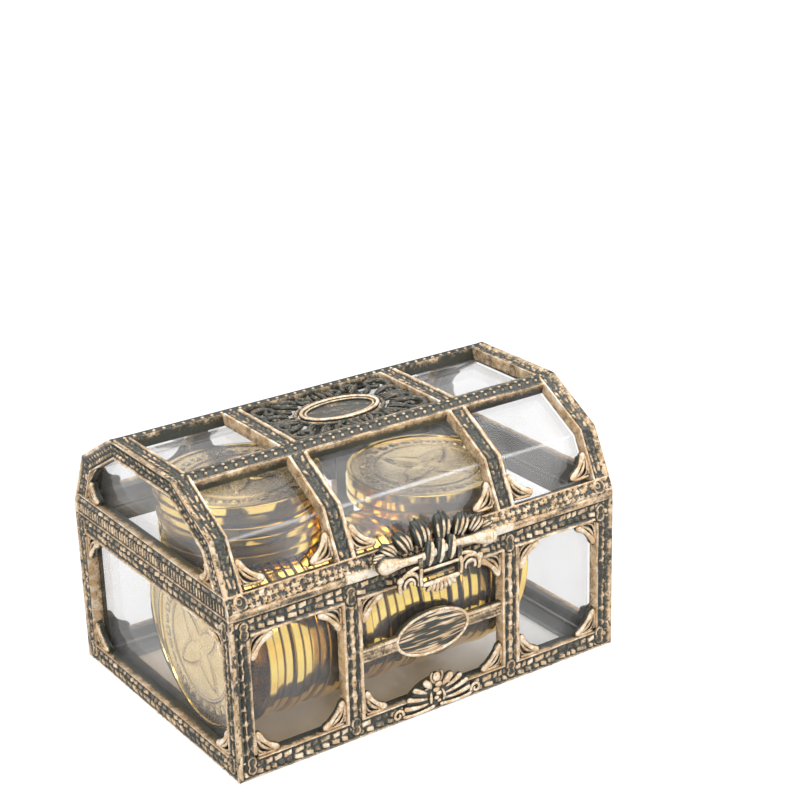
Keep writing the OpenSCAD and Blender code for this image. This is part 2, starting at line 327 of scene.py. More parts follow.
class Recipe:
    """The nodes of a material or of the surroundings, added one by one."""

    def __init__(self, name: str, surrounds: bool = False) -> None:
        """Starts with only an output node."""
        self.result = (bpy.data.worlds if surrounds else bpy.data.materials).new(name)
        self.result.use_nodes = True
        self.tree = self.result.node_tree
        self.tree.nodes.clear()
        self.output = self.tree.nodes.new("ShaderNodeOutputWorld" if surrounds else "ShaderNodeOutputMaterial")

    def add(self, kind: str, inputs: dict | None = None, **settings: object) -> bpy.types.Node:
        """Adds a node.

        Args:
            kind: The node's type.
            inputs: What goes into its sockets: a number, a colour or another node's socket.
            **settings: The node's own properties.

        Returns:
            The new node.
        """
        node = self.tree.nodes.new(kind)
        for key, value in settings.items():
            setattr(node, key, value)
        for key, value in (inputs or {}).items():
            if isinstance(value, bpy.types.NodeSocket):
                self.tree.links.new(value, node.inputs[key])
            else:
                node.inputs[key].default_value = value
        return node

    def math(self, operation: str, a: object, b: object) -> bpy.types.NodeSocket:
        """The result of a sum on two numbers or sockets."""
        return self.add("ShaderNodeMath", {0: a, 1: b}, operation=operation).outputs[0]

    def mix(self, factor: object, a: object, b: object) -> bpy.types.NodeSocket:
        """A colour between two others."""
        node = self.add("ShaderNodeMix", {0: factor, 6: a, 7: b}, data_type="RGBA")
        return node.outputs[2]

    def span(self, value: object, low: float, high: float, to: tuple[float, float] = (0.0, 1.0)) -> object:
        """A soft step between two values."""
        inputs = {"Value": value, "From Min": low, "From Max": high, "To Min": to[0], "To Max": to[1]}
        return self.add("ShaderNodeMapRange", inputs, interpolation_type="SMOOTHSTEP").outputs[0]

    def noise(self, scale: Sequence[float], detail: float = 3.0) -> bpy.types.NodeSocket:
        """Noise on Object coordinates, with a scale for each axis in patches per metre."""
        place = self.add("ShaderNodeTexCoord").outputs["Object"]
        mapped = self.add("ShaderNodeMapping", {"Vector": place, "Scale": tuple(scale)}).outputs[0]
        inputs = {"Vector": mapped, "Scale": 1.0, "Detail": detail}
        return self.add("ShaderNodeTexNoise", inputs).outputs["Fac"]

    def paint(self) -> bpy.types.NodeSocket:
        """The "paint" attribute of the shape."""
        return self.add("ShaderNodeAttribute", attribute_name="paint").outputs["Fac"]

    def mix_shaders(self, factor: object, a: bpy.types.Node, b: bpy.types.Node) -> bpy.types.Node:
        """A shader between two others."""
        return self.add("ShaderNodeMixShader", {0: factor, 1: a.outputs[0], 2: b.outputs[0]})

    def surface(
        self, colour: object, rough: object, metallic: float, height: object, strength: float, depth: float
    ) -> bpy.types.Material:
        """Finishes with an opaque surface that has fine unevenness.

        Args:
            colour: Its colour.
            rough: Its roughness.
            metallic: How metallic it is.
            height: The unevenness.
            strength: How strongly that shows.
            depth: How deep it is, in metres.

        Returns:
            The material.
        """
        bump = self.add("ShaderNodeBump", {"Height": height, "Strength": strength, "Distance": depth})
        return self.finish(self.add("ShaderNodeBsdfPrincipled", {
            "Base Color": colour, "Roughness": rough, "Normal": bump.outputs[0], "Metallic": metallic,
        }))

    def finish(self, shader: bpy.types.Node) -> bpy.types.ID:
        """Connects the shader and returns what was made."""
        self.tree.links.new(shader.outputs[0], self.output.inputs["Surface"])
        return self.result


Colour = tuple[float, float, float, float]
WHITE: Colour = (1, 1, 1, 1)


@dataclass(frozen=True)
class AntiquedPlastic:
    """Dark moulded plastic whose proud places are dry-brushed with pale bronze."""

    name: str
    blotch: tuple[float, float, float] = (620.0, 620.0, 620.0)
    fleck: tuple[float, float, float] = (2300.0, 2300.0, 2300.0)
    cover: float = 0.47
    dark: Colour = (0.012, 0.014, 0.011, 1)
    worn_dark: Colour = (0.060, 0.062, 0.050, 1)
    umber: Colour = (0.20, 0.145, 0.085, 1)
    bronze: Colour = (0.47, 0.31, 0.165, 1)
    rose: Colour = (0.53, 0.395, 0.26, 1)
    pale: Colour = (0.65, 0.60, 0.49, 1)

    def material(self) -> bpy.types.Material:
        """Builds the nodes. The "paint" attribute says how proud each place is.

        Returns:
            The material.
        """
        r = Recipe(self.name)
        blotch = r.noise(self.blotch, 2.0)
        fleck = r.noise(self.fleck, 4.0)
        uneven = r.math("ADD", r.math("MULTIPLY", blotch, 0.55), r.math("MULTIPLY", fleck, 0.75))
        level = r.math("ADD", r.paint(), uneven)
        start = 0.65 + self.cover
        mask = r.span(level, start - 0.16, start + 0.12)
        dark = r.mix(fleck, self.dark, self.worn_dark)
        bronze = r.mix(r.span(blotch, 0.42, 0.62), self.bronze, self.rose)
        thick = r.mix(r.span(level, start + 0.02, start + 0.3), self.umber, bronze)
        bright = r.mix(r.span(level, start + 0.34, start + 0.56), thick, self.pale)
        colour = r.mix(mask, dark, bright)
        return r.surface(colour, r.span(mask, 0.0, 1.0, (0.3, 0.42)), 0.25, fleck, 0.4, 0.00008)


@dataclass(frozen=True)
class GoldFoil:
    """Mirror-bright gold on moulded play coins."""

    name: str = "gold_rim"
    rough: tuple[float, float] = (0.07, 0.16)
    gold: Colour = (1.0, 0.75, 0.21, 1)
    deep: Colour = (0.95, 0.63, 0.14, 1)
    # Colour of the painted shade along the coins' lines and rim edges.
    groove: Colour = (0.17, 0.09, 0.025, 1)

    def material(self) -> bpy.types.Material:
        """Builds the nodes and returns the material."""
        r = Recipe(self.name)
        cloud = r.noise((140, 140, 140), 2.0)
        clean = r.mix(r.span(cloud, 0.35, 0.65), self.deep, self.gold)
        rough = r.span(r.noise((2600, 2600, 2600), 3.0), 0.3, 0.8, self.rough)
        # The "paint" attribute mixes in painted shade along the coins' lines and rim edges.
        return r.surface(r.mix(r.paint(), clean, self.groove), rough, 1.0, cloud, 0.25, 0.0004)


@dataclass(frozen=True)
class ClearPlastic:
    """Thin clear plastic: see-through, glossier at a slant, with a faint haze."""

    name: str = "clear_liner"
    tint: Colour = (0.925, 0.924, 0.925, 1)
    haze: Colour = (0.86, 0.86, 0.87, 1)
    dull: tuple[float, float] = (0.015, 0.045)

    def material(self) -> bpy.types.Material:
        """Builds the nodes and returns the material."""
        r = Recipe(self.name)
        facing = r.add("ShaderNodeLayerWeight", {"Blend": 0.5}).outputs["Facing"]
        share = r.span(r.math("POWER", facing, 3.5), 0.0, 1.0, (0.022, 0.8))
        through = r.add("ShaderNodeBsdfTransparent", {"Color": self.tint})
        gloss = r.add("ShaderNodeBsdfGlossy", {"Color": WHITE, "Roughness": 0.06})
        # Diffuse haze: faint scuffing on the liners, and on their creases a stronger haze that is a painted
        # highlight.
        scuff_and_crease_highlight = r.span(r.noise((90, 90, 90), 3.0), 0.35, 0.75, self.dull)
        hazy = r.add("ShaderNodeBsdfDiffuse", {"Color": self.haze})
        return r.finish(r.mix_shaders(scuff_and_crease_highlight, r.mix_shaders(share, through, gloss), hazy))


@dataclass(frozen=True)
class BrushedSteel:
    """Steel wire, drawn along the pins."""

    name: str = "drawn_steel"
    steel: Colour = (0.62, 0.62, 0.64, 1)
    dull: Colour = (0.42, 0.42, 0.43, 1)

    def material(self) -> bpy.types.Material:
        """Builds the nodes and returns the material."""
        r = Recipe(self.name)
        drawn = r.noise((180, 5200, 5200), 3.0)
        rough = r.span(drawn, 0.3, 0.7, (0.22, 0.42))
        return r.surface(r.mix(drawn, self.dull, self.steel), rough, 1.0, drawn, 0.3, 0.00004)


@dataclass
class Finishes:
    """Every material of the chest."""

    cast: bpy.types.Material = field(default_factory=AntiquedPlastic("antiqued_cast").material)
    smooth_cast: bpy.types.Material = field(
        default_factory=AntiquedPlastic("antiqued_smooth", cover=0.54).material
    )
    wood_grain: bpy.types.Material = field(default_factory=AntiquedPlastic(
        "antiqued_grain", (150, 900, 1500), (420, 2600, 5200), 0.52
    ).material)
    plain: bpy.types.Material = field(
        default_factory=AntiquedPlastic("plain_plastic", cover=1.4).material
    )
    gold: bpy.types.Material = field(default_factory=GoldFoil().material)
    gold_face: bpy.types.Material = field(default_factory=GoldFoil(
        "gold_face", (0.2, 0.32), (0.88, 0.69, 0.33, 1), (0.80, 0.58, 0.23, 1)
    ).material)
    clear: bpy.types.Material = field(default_factory=ClearPlastic().material)
    # Hazier clear plastic for the liners' rounded creases: a painted highlight along them.
    crease: bpy.types.Material = field(
        default_factory=ClearPlastic("clear_crease_highlight", dull=(0.14, 0.26)).material
    )
    steel: bpy.types.Material = field(default_factory=BrushedSteel().material)


# ------------------------------------------------------------------ pieces


def soften(bm: bmesh.types.BMesh) -> bmesh.types.BMesh:
    """Shades every face of a shape smoothly, and returns it."""
    for face in bm.faces:
        face.smooth = True
    return bm


def finish_piece(
    bm: bmesh.types.BMesh,
    name: str,
    body: Body,
    materials: Sequence[bpy.types.Material],
    stands_for: Sequence[str],
    paint: Array | None = None,
) -> bpy.types.Object:
    """Turns a shape in place into a finished piece of the chest.

    Args:
        bm: The shape in millimetres. It is freed.
        name: The piece's name.
        body: The body that it rides on.
        materials: Its materials, in the order of the faces' indices.
        stands_for: The CAD nodes that it replaces.
        paint: How proud each vertex is, from 0 to 1.

    Returns:
        The piece.
    """
    bmesh.ops.recalc_face_normals(bm, faces=bm.faces[:])
    bmesh.ops.scale(bm, verts=bm.verts[:], vec=(MM, MM, MM))
    mesh = bpy.data.meshes.new(name)
    bm.to_mesh(mesh)
    bm.free()
    if paint is not None:
        layer = mesh.attributes.new("paint", "FLOAT", "POINT")
        layer.data.foreach_set("value", np.clip(paint, 0, 1).astype(np.float32))
    for material in materials:
        mesh.materials.append(material)
    piece = bpy.data.objects.new(name, mesh)
    bpy.context.scene.collection.objects.link(piece)
    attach(piece, body.value)
    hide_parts(*stands_for)
    LOG.info("%s: %d faces", name, len(mesh.polygons))
    return piece


@dataclass
class Sheet:
    """A slab of openwork with a carved outer face.

    The slab is laid out flat between knots, some of whose cells are windows, then wrapped onto its
    outer and inner surfaces. The carving sinks the outer face.
    """

    name: str
    u_knots: Sequence[float]
    v_knots: Sequence[float]
    surface: Callable[[Array, Array], tuple[Array, Array]]
    carve: Callable[[Array, Array], Relief]
    windows: frozenset[tuple[int, int]] = frozenset()
    step: tuple[float, float] = (0.2, 0.2)
    deep: float = 0.75
    wall_paint: float = 0.56

    def _lines(self, knots: Sequence[float], step: float) -> Array:
        """Grid lines at about one step, with one on every knot."""
        parts = [
            np.linspace(a, b, max(1, round((b - a) / step)), endpoint=False)
            for a, b in zip(knots[:-1], knots[1:])
        ]
        return np.append(np.concatenate(parts), knots[-1])

    def _cell(self, face: bmesh.types.BMFace) -> tuple[int, int]:
        """Which cell between the knots a face lies in."""
        middle = face.calc_center_median()
        return (
            int(np.searchsorted(self.u_knots, middle.x)) - 1,
            int(np.searchsorted(self.v_knots, middle.y)) - 1,
        )

    def _flat(self) -> bmesh.types.BMesh:
        """The slab laid out flat: its outer face at 0, and at 1 its inner face, with one face to a cell."""
        us, vs = self._lines(self.u_knots, self.step[0]), self._lines(self.v_knots, self.step[1])
        bm = bmesh.new()
        bmesh.ops.create_grid(bm, x_segments=len(us) - 1, y_segments=len(vs) - 1, size=1.0)
        for vert in bm.verts:
            i = round((vert.co.x + 1) / 2 * (len(us) - 1))
            j = round((vert.co.y + 1) / 2 * (len(vs) - 1))
            vert.co = (us[i], vs[j], 0)
        if self.windows:
            open_faces = [face for face in bm.faces if self._cell(face) in self.windows]
            bmesh.ops.delete(bm, geom=open_faces, context="FACES")
        soften(bm)
        grown = bmesh.ops.extrude_face_region(bm, geom=bm.faces[:])["geom"]
        for vert in (item for item in grown if isinstance(item, bmesh.types.BMVert)):
            vert.co.z = 1
        cells: dict[tuple[int, int], list[bmesh.types.BMFace]] = {}
        for face in bm.faces:
            depth = sum(vert.co.z for vert in face.verts) / len(face.verts)
            if depth > 0.9:
                cells.setdefault(self._cell(face), []).append(face)
            elif depth > 0.1:
                face.smooth = False
        for faces in cells.values():
            for face in faces:
                face.smooth = False
                face.material_index = 1
            bmesh.ops.dissolve_faces(bm, faces=faces, use_verts=False)
        return bm

    def finish(
        self, body: Body, slot: Slot, finishes: Finishes, stands_for: str,
        face: bpy.types.Material | None = None,
    ) -> bpy.types.Object:
        """Wraps and carves the slab, and makes it a piece.

        Args:
            body: The body that it rides on.
            slot: Not used.
            finishes: The chest's materials.
            stands_for: The CAD node that it replaces.
            face: The material of its carved face, where that isn't the frames' own.

        Returns:
            The piece.
        """
        bm = self._flat()
        flat = np.array([vert.co[:] for vert in bm.verts])
        u, v, is_inner = flat[:, 0], flat[:, 1], flat[:, 2] > 0.5
        outer, inner = self.surface(u, v)
        height, paint = self.carve(u, v)
        through = inner - outer
        thickness = np.linalg.norm(through, axis=1)
        share = np.where(is_inner, 1.0, self.deep * (1 - np.clip(height, 0, 1)) / thickness)
        places = outer + through * share[:, None]
        on_knot = np.zeros(len(u), bool)
        for knot in self.u_knots[1:-1]:
            on_knot |= np.abs(u - knot) < ON_KNOT
        paint = np.where(is_inner, np.where(on_knot, self.wall_paint, 0.0), paint)
        for vert, place in zip(bm.verts, places):
            vert.co = place
        materials = [face or finishes.cast, finishes.plain]
        return finish_piece(bm, self.name, body, materials, [stands_for], paint)


def travelled(route: Array) -> Array:
    """How far along a route each of its points lies."""
    return np.concatenate([[0], np.cumsum(np.linalg.norm(np.diff(route, axis=0), axis=1))])


def strand(
    route: Array,
    width: Sequence[float],
    sides: int = 8,
    rings: int = 12,
    flatness: float = 1.0,
    out: Sequence[float] = (0, 0, 1),
) -> bmesh.types.BMesh:
    """A ball drawn out along a route, with round ends.

    Args:
        route: Points along the middle, in millimetres.
        width: Radii at even steps from the start to the end.
        sides: Faces round it.
        rings: Rings along it.
        flatness: How far it stands out, as a share of its width.
        out: The direction that it stands out in.

    Returns:
        The shape.
    """
    bm = bmesh.new()
    bmesh.ops.create_uvsphere(bm, u_segments=sides, v_segments=rings, radius=1.0)
    route = np.asarray(route, float)
    run = travelled(route)
    ball = np.array([vert.co[:] for vert in bm.verts])
    along = (1 - np.clip(ball[:, 2], -1, 1)) / 2 * run[-1]
    middle = np.stack([np.interp(along, run, route[:, k]) for k in range(3)], axis=1)
    reach = run[-1] * 0.04
    ahead, behind = np.minimum(along + reach, run[-1]), np.maximum(along - reach, 0)
    tangent = np.stack([
        np.interp(ahead, run, route[:, k]) - np.interp(behind, run, route[:, k]) for k in range(3)
    ], axis=1)
    tangent /= np.linalg.norm(tangent, axis=1)[:, None]
    side = np.cross(tangent, np.asarray(out, float))
    side /= np.linalg.norm(side, axis=1)[:, None]
    rise = np.cross(side, tangent)
    radius = np.interp(along / run[-1], np.linspace(0, 1, len(width)), width)
    to_end = np.minimum(along, run[-1] - along)
    radius = radius * dome(np.clip(radius - to_end, 0, None), radius)
    angle = np.arctan2(ball[:, 1], ball[:, 0])
    round_about = np.cos(angle)[:, None] * side + np.sin(angle)[:, None] * rise * flatness
    at_pole = np.abs(ball[:, 2]) > 0.9999
    places = middle + round_about * np.where(at_pole, 0, radius)[:, None]
    for vert, place in zip(bm.verts, places):
        vert.co = place
    return soften(bm)


def arc(
    centre: Sequence[float], radius: float | tuple[float, float], start: float, end: float, z: float = 0.0
) -> Array:
    """Points of an arc or a spiral in the plane.

    Args:
        centre: Its middle.
        radius: Its radius, or its first and last radius.
        start: First angle in degrees.
        end: Last angle in degrees.
        z: Height out of the plane.

    Returns:
        The points.
    """
    first, last = radius if isinstance(radius, tuple) else (radius, radius)
    count = max(6, int(abs(end - start) / 9))
    angles = np.radians(np.linspace(start, end, count))
    radii = np.linspace(first, last, count)
    return np.stack([centre[0] + radii * np.cos(angles), centre[1] + radii * np.sin(angles),
                     np.full(count, z)], axis=1)


def bend(*points: Sequence[float]) -> Array:
    """Points of a smooth curve led by three points or more, as a Bezier curve."""
    led = np.array([(*p, 0.0) if len(p) == 2 else p for p in points], float)
    t = np.linspace(0, 1, 14)[:, None]
    total = np.zeros((len(t), 3))
    degree = len(led) - 1
    for k, point in enumerate(led):
        total += math.comb(degree, k) * t ** k * (1 - t) ** (degree - k) * point
    return total


def oval(u: Array, v: Array, rx: float, ry: float) -> tuple[Array, Array]:
    """Wraps a square from -1 to 1 onto an oval."""
    return rx * u * np.sqrt(1 - v * v / 2), ry * v * np.sqrt(1 - u * u / 2)


def oval_route(rx: float, ry: float, middle: float, height: float, count: int, end: float = 366) -> Array:
    """Points round an oval.

    Args:
        rx: Its radius along the plane's x.
        ry: Its radius along the plane's y.
        middle: Its middle's y.
        height: Its height out of the plane.
        count: How many points.
        end: Angle in degrees at which it ends, a little past where it starts.

    Returns:
        The points.
    """
    turns = np.radians(np.linspace(0, end, count))
    return np.stack([rx * np.cos(turns), middle + ry * np.sin(turns), np.full(count, height)], axis=1)


def ball(centre: Sequence[float], radii: Sequence[float], sides: int = 12) -> bmesh.types.BMesh:
    """A ball squeezed to three radii."""
    bm = bmesh.new()
    place = Matrix.Translation(centre) @ Matrix.Diagonal((*radii, 1))
    rings = max(6, sides * 2 // 3)
    bmesh.ops.create_uvsphere(bm, u_segments=sides, v_segments=rings, radius=1.0, matrix=place)
    return soften(bm)


def slab(
    outline: Iterable[Sequence[float]], back: float, front: float, round_off: float
) -> bmesh.types.BMesh:
    """A plate with softened edges.

    Args:
        outline: Its outline in the plane.
        back: Height of its back.
        front: Height of its front.
        round_off: Width of the softened edge.

    Returns:
        The shape.
    """
    bm = bmesh.new()
    base = bm.faces.new([bm.verts.new((x, y, back)) for x, y in outline])
    grown = bmesh.ops.extrude_face_region(bm, geom=[base])["geom"]
    top = [item for item in grown if isinstance(item, bmesh.types.BMVert)]
    bmesh.ops.translate(bm, verts=top, vec=(0, 0, front - back))
    edges = list({edge for vert in top for edge in vert.link_edges if edge.other_vert(vert) in top})
    bmesh.ops.bevel(bm, geom=edges, offset=round_off, affect="EDGES", segments=2, profile=0.5, material=-1)
    return bm


class Casting:
    """Ornament gathered from many small shapes in one plane."""

    _scratch: bpy.types.Mesh | None = None

    def __init__(self) -> None:
        """Starts with nothing in it."""
        self.bm = bmesh.new()
        self.strengths: list[float] = []
        if Casting._scratch is None:
            Casting._scratch = bpy.data.meshes.new("scratch")

    def add(self, shape: bmesh.types.BMesh, place: Matrix | None = None, strength: float = 1.0) -> None:
        """Adds a shape, which is freed.

        Args:
            shape: What to add.
            place: Where it goes.
            strength: How much paint it takes.
        """
        if place is not None:
            bmesh.ops.transform(shape, matrix=place, verts=shape.verts[:])
        shape.to_mesh(self._scratch)
        shape.free()
        before = len(self.bm.verts)
        self.bm.from_mesh(self._scratch)
        self.strengths += [strength] * (len(self.bm.verts) - before)

    def add_pair(self, make: Callable[[], bmesh.types.BMesh], strength: float = 1.0) -> None:
        """Adds a shape and its mirror image on the other side of the middle."""
        self.add(make(), None, strength)
        self.add(make(), Matrix.Diagonal((-1, 1, 1, 1)), strength)

    def add_copies(self, other: "Casting", places: Iterable[Matrix]) -> None:
        """Adds copies of another casting."""
        mesh = bpy.data.meshes.new("copies")
        other.bm.to_mesh(mesh)
        for place in places:
            turned = mesh.copy()
            turned.transform(place)
            self.bm.from_mesh(turned)
            self.strengths += other.strengths
            bpy.data.meshes.remove(turned)
        bpy.data.meshes.remove(mesh)

    def painted(self, low: float, high: float) -> Array:
        """How proud each vertex is: where it faces and how far out it stands.

        Args:
            low: Height at which the paint starts.
            high: Height at which it covers.

        Returns:
            Values from 0 to 1.
        """
        bmesh.ops.recalc_face_normals(self.bm, faces=self.bm.faces[:])
        self.bm.normal_update()
        facing = np.array([vert.normal.z for vert in self.bm.verts])
        height = np.array([vert.co.z for vert in self.bm.verts])
        proud = smooth(height - low, high - low)
        return (0.1 + 0.9 * smooth(facing + 0.15, 1.0)) * proud * np.array(self.strengths)

    def finish(
        self, name: str, body: Body, place: Matrix, finishes: Finishes, stands_for: Sequence[str],
        reach: tuple[float, float] = (-1.4, -0.3),
    ) -> bpy.types.Object:
        """Puts the casting in place as one piece.

        Args:
            name: The piece's name.
            body: The body that it rides on.
            place: From the casting's plane to the chest.
            finishes: The chest's materials.
            stands_for: The CAD nodes that it replaces.
            reach: Heights between which the paint grows.

        Returns:
            The piece.
        """
        paint = self.painted(*reach)
        bmesh.ops.transform(self.bm, matrix=place, verts=self.bm.verts[:])
        return finish_piece(self.bm, name, body, [finishes.smooth_cast], stands_for, paint)


def upright(side: Side, distance: float, height: float = 0.0) -> Matrix:
    """From a plane to an upright side of the chest.

    Args:
        side: Which side.
        distance: How far the side stands from the middle.
        height: Height of the plane's origin.

    Returns:
        The matrix.
    """
    stand = Matrix(((1, 0, 0, 0), (0, 0, -1, -distance), (0, 1, 0, height), (0, 0, 0, 1)))
    return side.turn @ stand


def leaf_bracket(leg: float = 5.6) -> Casting:
    """A corner leaf: a hollow triangle with a thick curved edge whose ends are round fingers."""
    leaf = Casting()
    tip, waist = (leg + 0.1, 0.5), (2.2, 2.2)
    edge = bend(tip, waist, tip[::-1])
    leaf.add(slab([(0, 0), (leg, 0), *edge[1:-1, :2], (0, leg)], -2.0, -1.15, 0.12), None, 0.2)
    leaf.add(strand(edge - (0, 0, 0.9), (0.78, 0.88, 0.66, 0.56, 0.66, 0.88, 0.78), 10, 18), None, 0.95)
    for inward, end_in, r in ((1.05, 0.7, 0.4), (2.1, 1.9, 0.26)):
        band = bend((leg - end_in, 0.5, -0.9), (2.2 - inward, 2.2 - inward, -0.5), (0.5, leg - end_in, -0.9))
        leaf.add(strand(band, (r * 0.8, r, r * 0.8), 8, 14), None, 0.8)
    for flip in (Matrix.Identity(4), Matrix(((0, 1, 0, 0), (1, 0, 0, 0), (0, 0, 1, 0), (0, 0, 0, 1)))):
        leaf.add(strand(bend((0.6, 0.35), (3.0, 0.15), (leg - 0.6, 0.3)), (0.25, 0.34, 0.4), 8, 12, 0.9),
                 Matrix.Translation((0, 0, -0.7)) @ flip, 0.85)
    leaf.add(ball((0.75, 0.75, -0.95), (0.5, 0.5, 0.42), 10), None, 0.6)
    return leaf


# ------------------------------------------------------------------ base


@dataclass
class BaseFrame:
    """The base's four openwork panels, its floor ring and the leaves in its windows."""

    size: ChestSize
    finishes: Finishes

    def _half(self, side: Side) -> tuple[float, float, float]:
        """Half length of a side, its distance from the middle, and its windows' outer edge."""
        s = self.size
        return (s.half_w, s.half_d, s.window_x) if side.is_long else (s.half_d, s.half_w, s.end_y)

    def _surface(self, side: Side, u: Array, v: Array) -> tuple[Array, Array]:
        """Outer and inner places of a side's panel, mitred at the corners."""
        half, distance, edge = self._half(side)
        shrink = (half - self.size.wall - edge) / (half - edge)
        inner_u = np.where(np.abs(u) > edge, np.sign(u) * (edge + (np.abs(u) - edge) * shrink), u)
        turn = np.array(side.turn.to_3x3())
        outer = np.stack([u, np.full_like(u, -distance), v], axis=1) @ turn.T
        inner = np.stack([inner_u, np.full_like(u, self.size.wall - distance), v], axis=1) @ turn.T
        return outer, inner

    def _post(self, along: Array, across: Array, seed: float) -> Relief:
        """An intermediate post: smooth lips, and two chains of dark hollows beside a knotted ridge."""
        away = np.abs(across)
        bark = grain(across, along, (0.5, 2.4), seed)
        drift = 0.3 * (grain(along, along * 0, (3.0, 1.0), seed + 8) - 0.5)
        hollow = np.maximum(
            slots(along, across - 0.8 + drift, 0.45, 3.3, 0.0),
            slots(along, across + 0.84 + drift, 0.43, 2.9, 0.5),
        )
        knots = 0.68 + 0.32 * studs(along, across * 0.8, 1.65, 0.78)
        middle = knots * (1 - 0.95 * hollow)
        lip = smooth(away - 1.42, 0.18)
        height = middle * (1 - lip) + lip * (0.9 + 0.1 * bark)
        height *= groove(away - 1.42, 0.14, 0.5)
        paint = height * (0.6 + 0.45 * bark)
        return height, paint

    def _corner(self, along: Array, from_edge: Array, width: float, seed: float) -> Relief:
        """A corner post: a lip at the window, a chain of hollows, and a smooth strip at the corner."""
        bark = grain(from_edge, along, (0.6, 3.0), seed)
        nick = 0.5 * smooth(grain(from_edge, along, (0.5, 0.9), seed + 6) - 0.62, 0.12)
        strip = smooth(from_edge - (width - 1.05), 0.2) * (1 - nick)
        lip = smooth(0.55 - from_edge, 0.18)
        middle = (width - 1.05 + 0.55) / 2
        hollow = np.maximum(
            slots(along, from_edge - middle - 0.56, 0.42, 3.3, 0.2),
            slots(along, from_edge - middle + 0.6, 0.44, 2.9, 0.7),
        )
        knots = 0.5 + 0.5 * studs(along, (from_edge - middle) * 0.8, 1.7, 0.8)
        height = np.maximum(strip, np.maximum(lip * 0.95, knots * (1 - hollow)))
        paint = height * (0.45 + 0.5 * bark)
        paint = np.where(strip > 0.5, 0.7 + 0.4 * (bark - 0.5), paint)
        return height, paint

    def _rail(self, along: Array, from_edge: Array, width: float, seed: float) -> Relief:
        """A rail: a thin lip at the window, then rows of woven blocks."""
        lip = smooth(0.5 - from_edge, 0.16)
        blocks = bricks(along, from_edge - 0.7, 2.15, (width - 0.95) / 2, seed)
        shore = smooth(from_edge - (width - 0.3), 0.15)
        height = np.maximum(np.maximum(lip, blocks), 0.7 * shore)
        height *= groove(from_edge - 0.6, 0.12, 0.5)
        wear = grain(along, from_edge, (2.6, 1.4), seed + 3)
        return height, height * (0.62 + 0.45 * wear)

    def _boss(self, across: Array, along: Array, length: float) -> tuple[Array, Array]:
        """A keyhole boss where a post meets a rail: its height, and how much of the rail it covers."""
        body = np.hypot(across, np.maximum(np.abs(along - length / 2) - length / 2 + 1.3, 0)) - 1.15
        pinch = 0.28 * smooth(0.7 - np.abs(along - length * 0.55), 0.7)
        body = body + pinch
        outline = ridge(body + 0.24, 0.28, 0.24)
        inside = smooth(-body, 0.12)
        height = np.where(inside > 0, 0.45 + 0.55 * outline, 0.05)
        return height, smooth(0.34 - body, 0.12)

    def _carve(self, side: Side, u: Array, v: Array) -> Relief:
        """The whole relief of one side."""
        s = self.size
        half, _, edge = self._half(side)
        seed = 11.0 * (side.value + 1)
        on_foot, on_head = v < s.foot_z, v > s.window_top
        from_window = np.where(on_foot, s.foot_z - v, v - s.window_top)
        height, paint = self._rail(u, from_window, 4.1, seed)
        inward = np.abs(u) - edge
        corner = self._corner(v, inward, half - edge, seed + 1)
        is_corner = (inward > 0) & ((~on_foot & ~on_head) | (inward > half - edge - 1.05))
        height, paint = lay(corner, (height, paint), is_corner)
        centres = [-s.rib_x, s.rib_x] if side.is_long else []
        for centre in centres:
            across = u - centre
            post = self._post(v, across, seed + 2)
            is_post = (np.abs(across) <= s.rib_w / 2) & ~on_foot & ~on_head
            height, paint = lay(post, (height, paint), is_post)
        for centre in [*centres, -edge - 1.0, edge + 1.0]:
            across = u - centre
            for along in (s.foot_z + 0.9 - v, v - s.window_top + 0.9):
                boss, cover = self._boss(across, along, 4.4)
                cover = cover * (along > -0.3)
                wear = grain(u, v, (0.6, 1.8), seed + 5)
                height = height * (1 - cover) + boss * cover
                paint = paint * (1 - cover) + boss * (0.5 + 0.5 * wear) * cover
        rim = smooth(0.25 - (half - np.abs(u)), 0.25)
        rough = 0.1 * (grain(u, v, (0.35, 0.35), seed + 7) - 0.5)
        height = np.clip(height * 0.95 + rough, 0, 1) * (1 - rim) + rim
        return height, paint

    def panel(self, side: Side) -> bpy.types.Object:
        """Builds one side's panel."""
        s = self.size
        half, _, edge = self._half(side)
        knots = s.knots if side.is_long else [-half, -edge, edge, half]
        return Sheet(
            f"base_panel_{side.word}", knots, [0, s.foot_z, s.window_top, s.base_h],
            lambda u, v: self._surface(side, u, v), lambda u, v: self._carve(side, u, v),
            frozenset((i, 1) for i in range(1, len(knots) - 1, 2)),
        ).finish(Body.BASE, Slot.FRAME, self.finishes, "base_frame")

    def floor_ring(self, height: float = 1.2, reach: float = 7.5) -> bpy.types.Object:
        """Builds the flange that carries the liner."""
        s = self.size
        bm = bmesh.new()
        bmesh.ops.create_grid(bm, x_segments=3, y_segments=3, size=1.0)
        for vert in bm.verts:
            x, y = vert.co.x, vert.co.y
            vert.co.x = math.copysign(s.half_w - (s.wall if abs(x) > 0.9 else reach), x)
            vert.co.y = math.copysign(s.half_d - (s.wall if abs(y) > 0.9 else reach), y)
        hole = [face for face in bm.faces if face.calc_center_median().length < 1]
        bmesh.ops.delete(bm, geom=hole, context="FACES")
        grown = bmesh.ops.extrude_face_region(bm, geom=bm.faces[:])["geom"]
        top = [item for item in grown if isinstance(item, bmesh.types.BMVert)]
        bmesh.ops.translate(bm, verts=top, vec=(0, 0, height))
        sharp = [edge for edge in bm.edges if edge.calc_face_angle(0) > 1]
        bmesh.ops.bevel(bm, geom=sharp, offset=0.15, affect="EDGES", segments=2, profile=0.5, material=-1)
        return finish_piece(
            bm, "base_floor_ring", Body.BASE, [self.finishes.plain], ["base_frame"]
        )

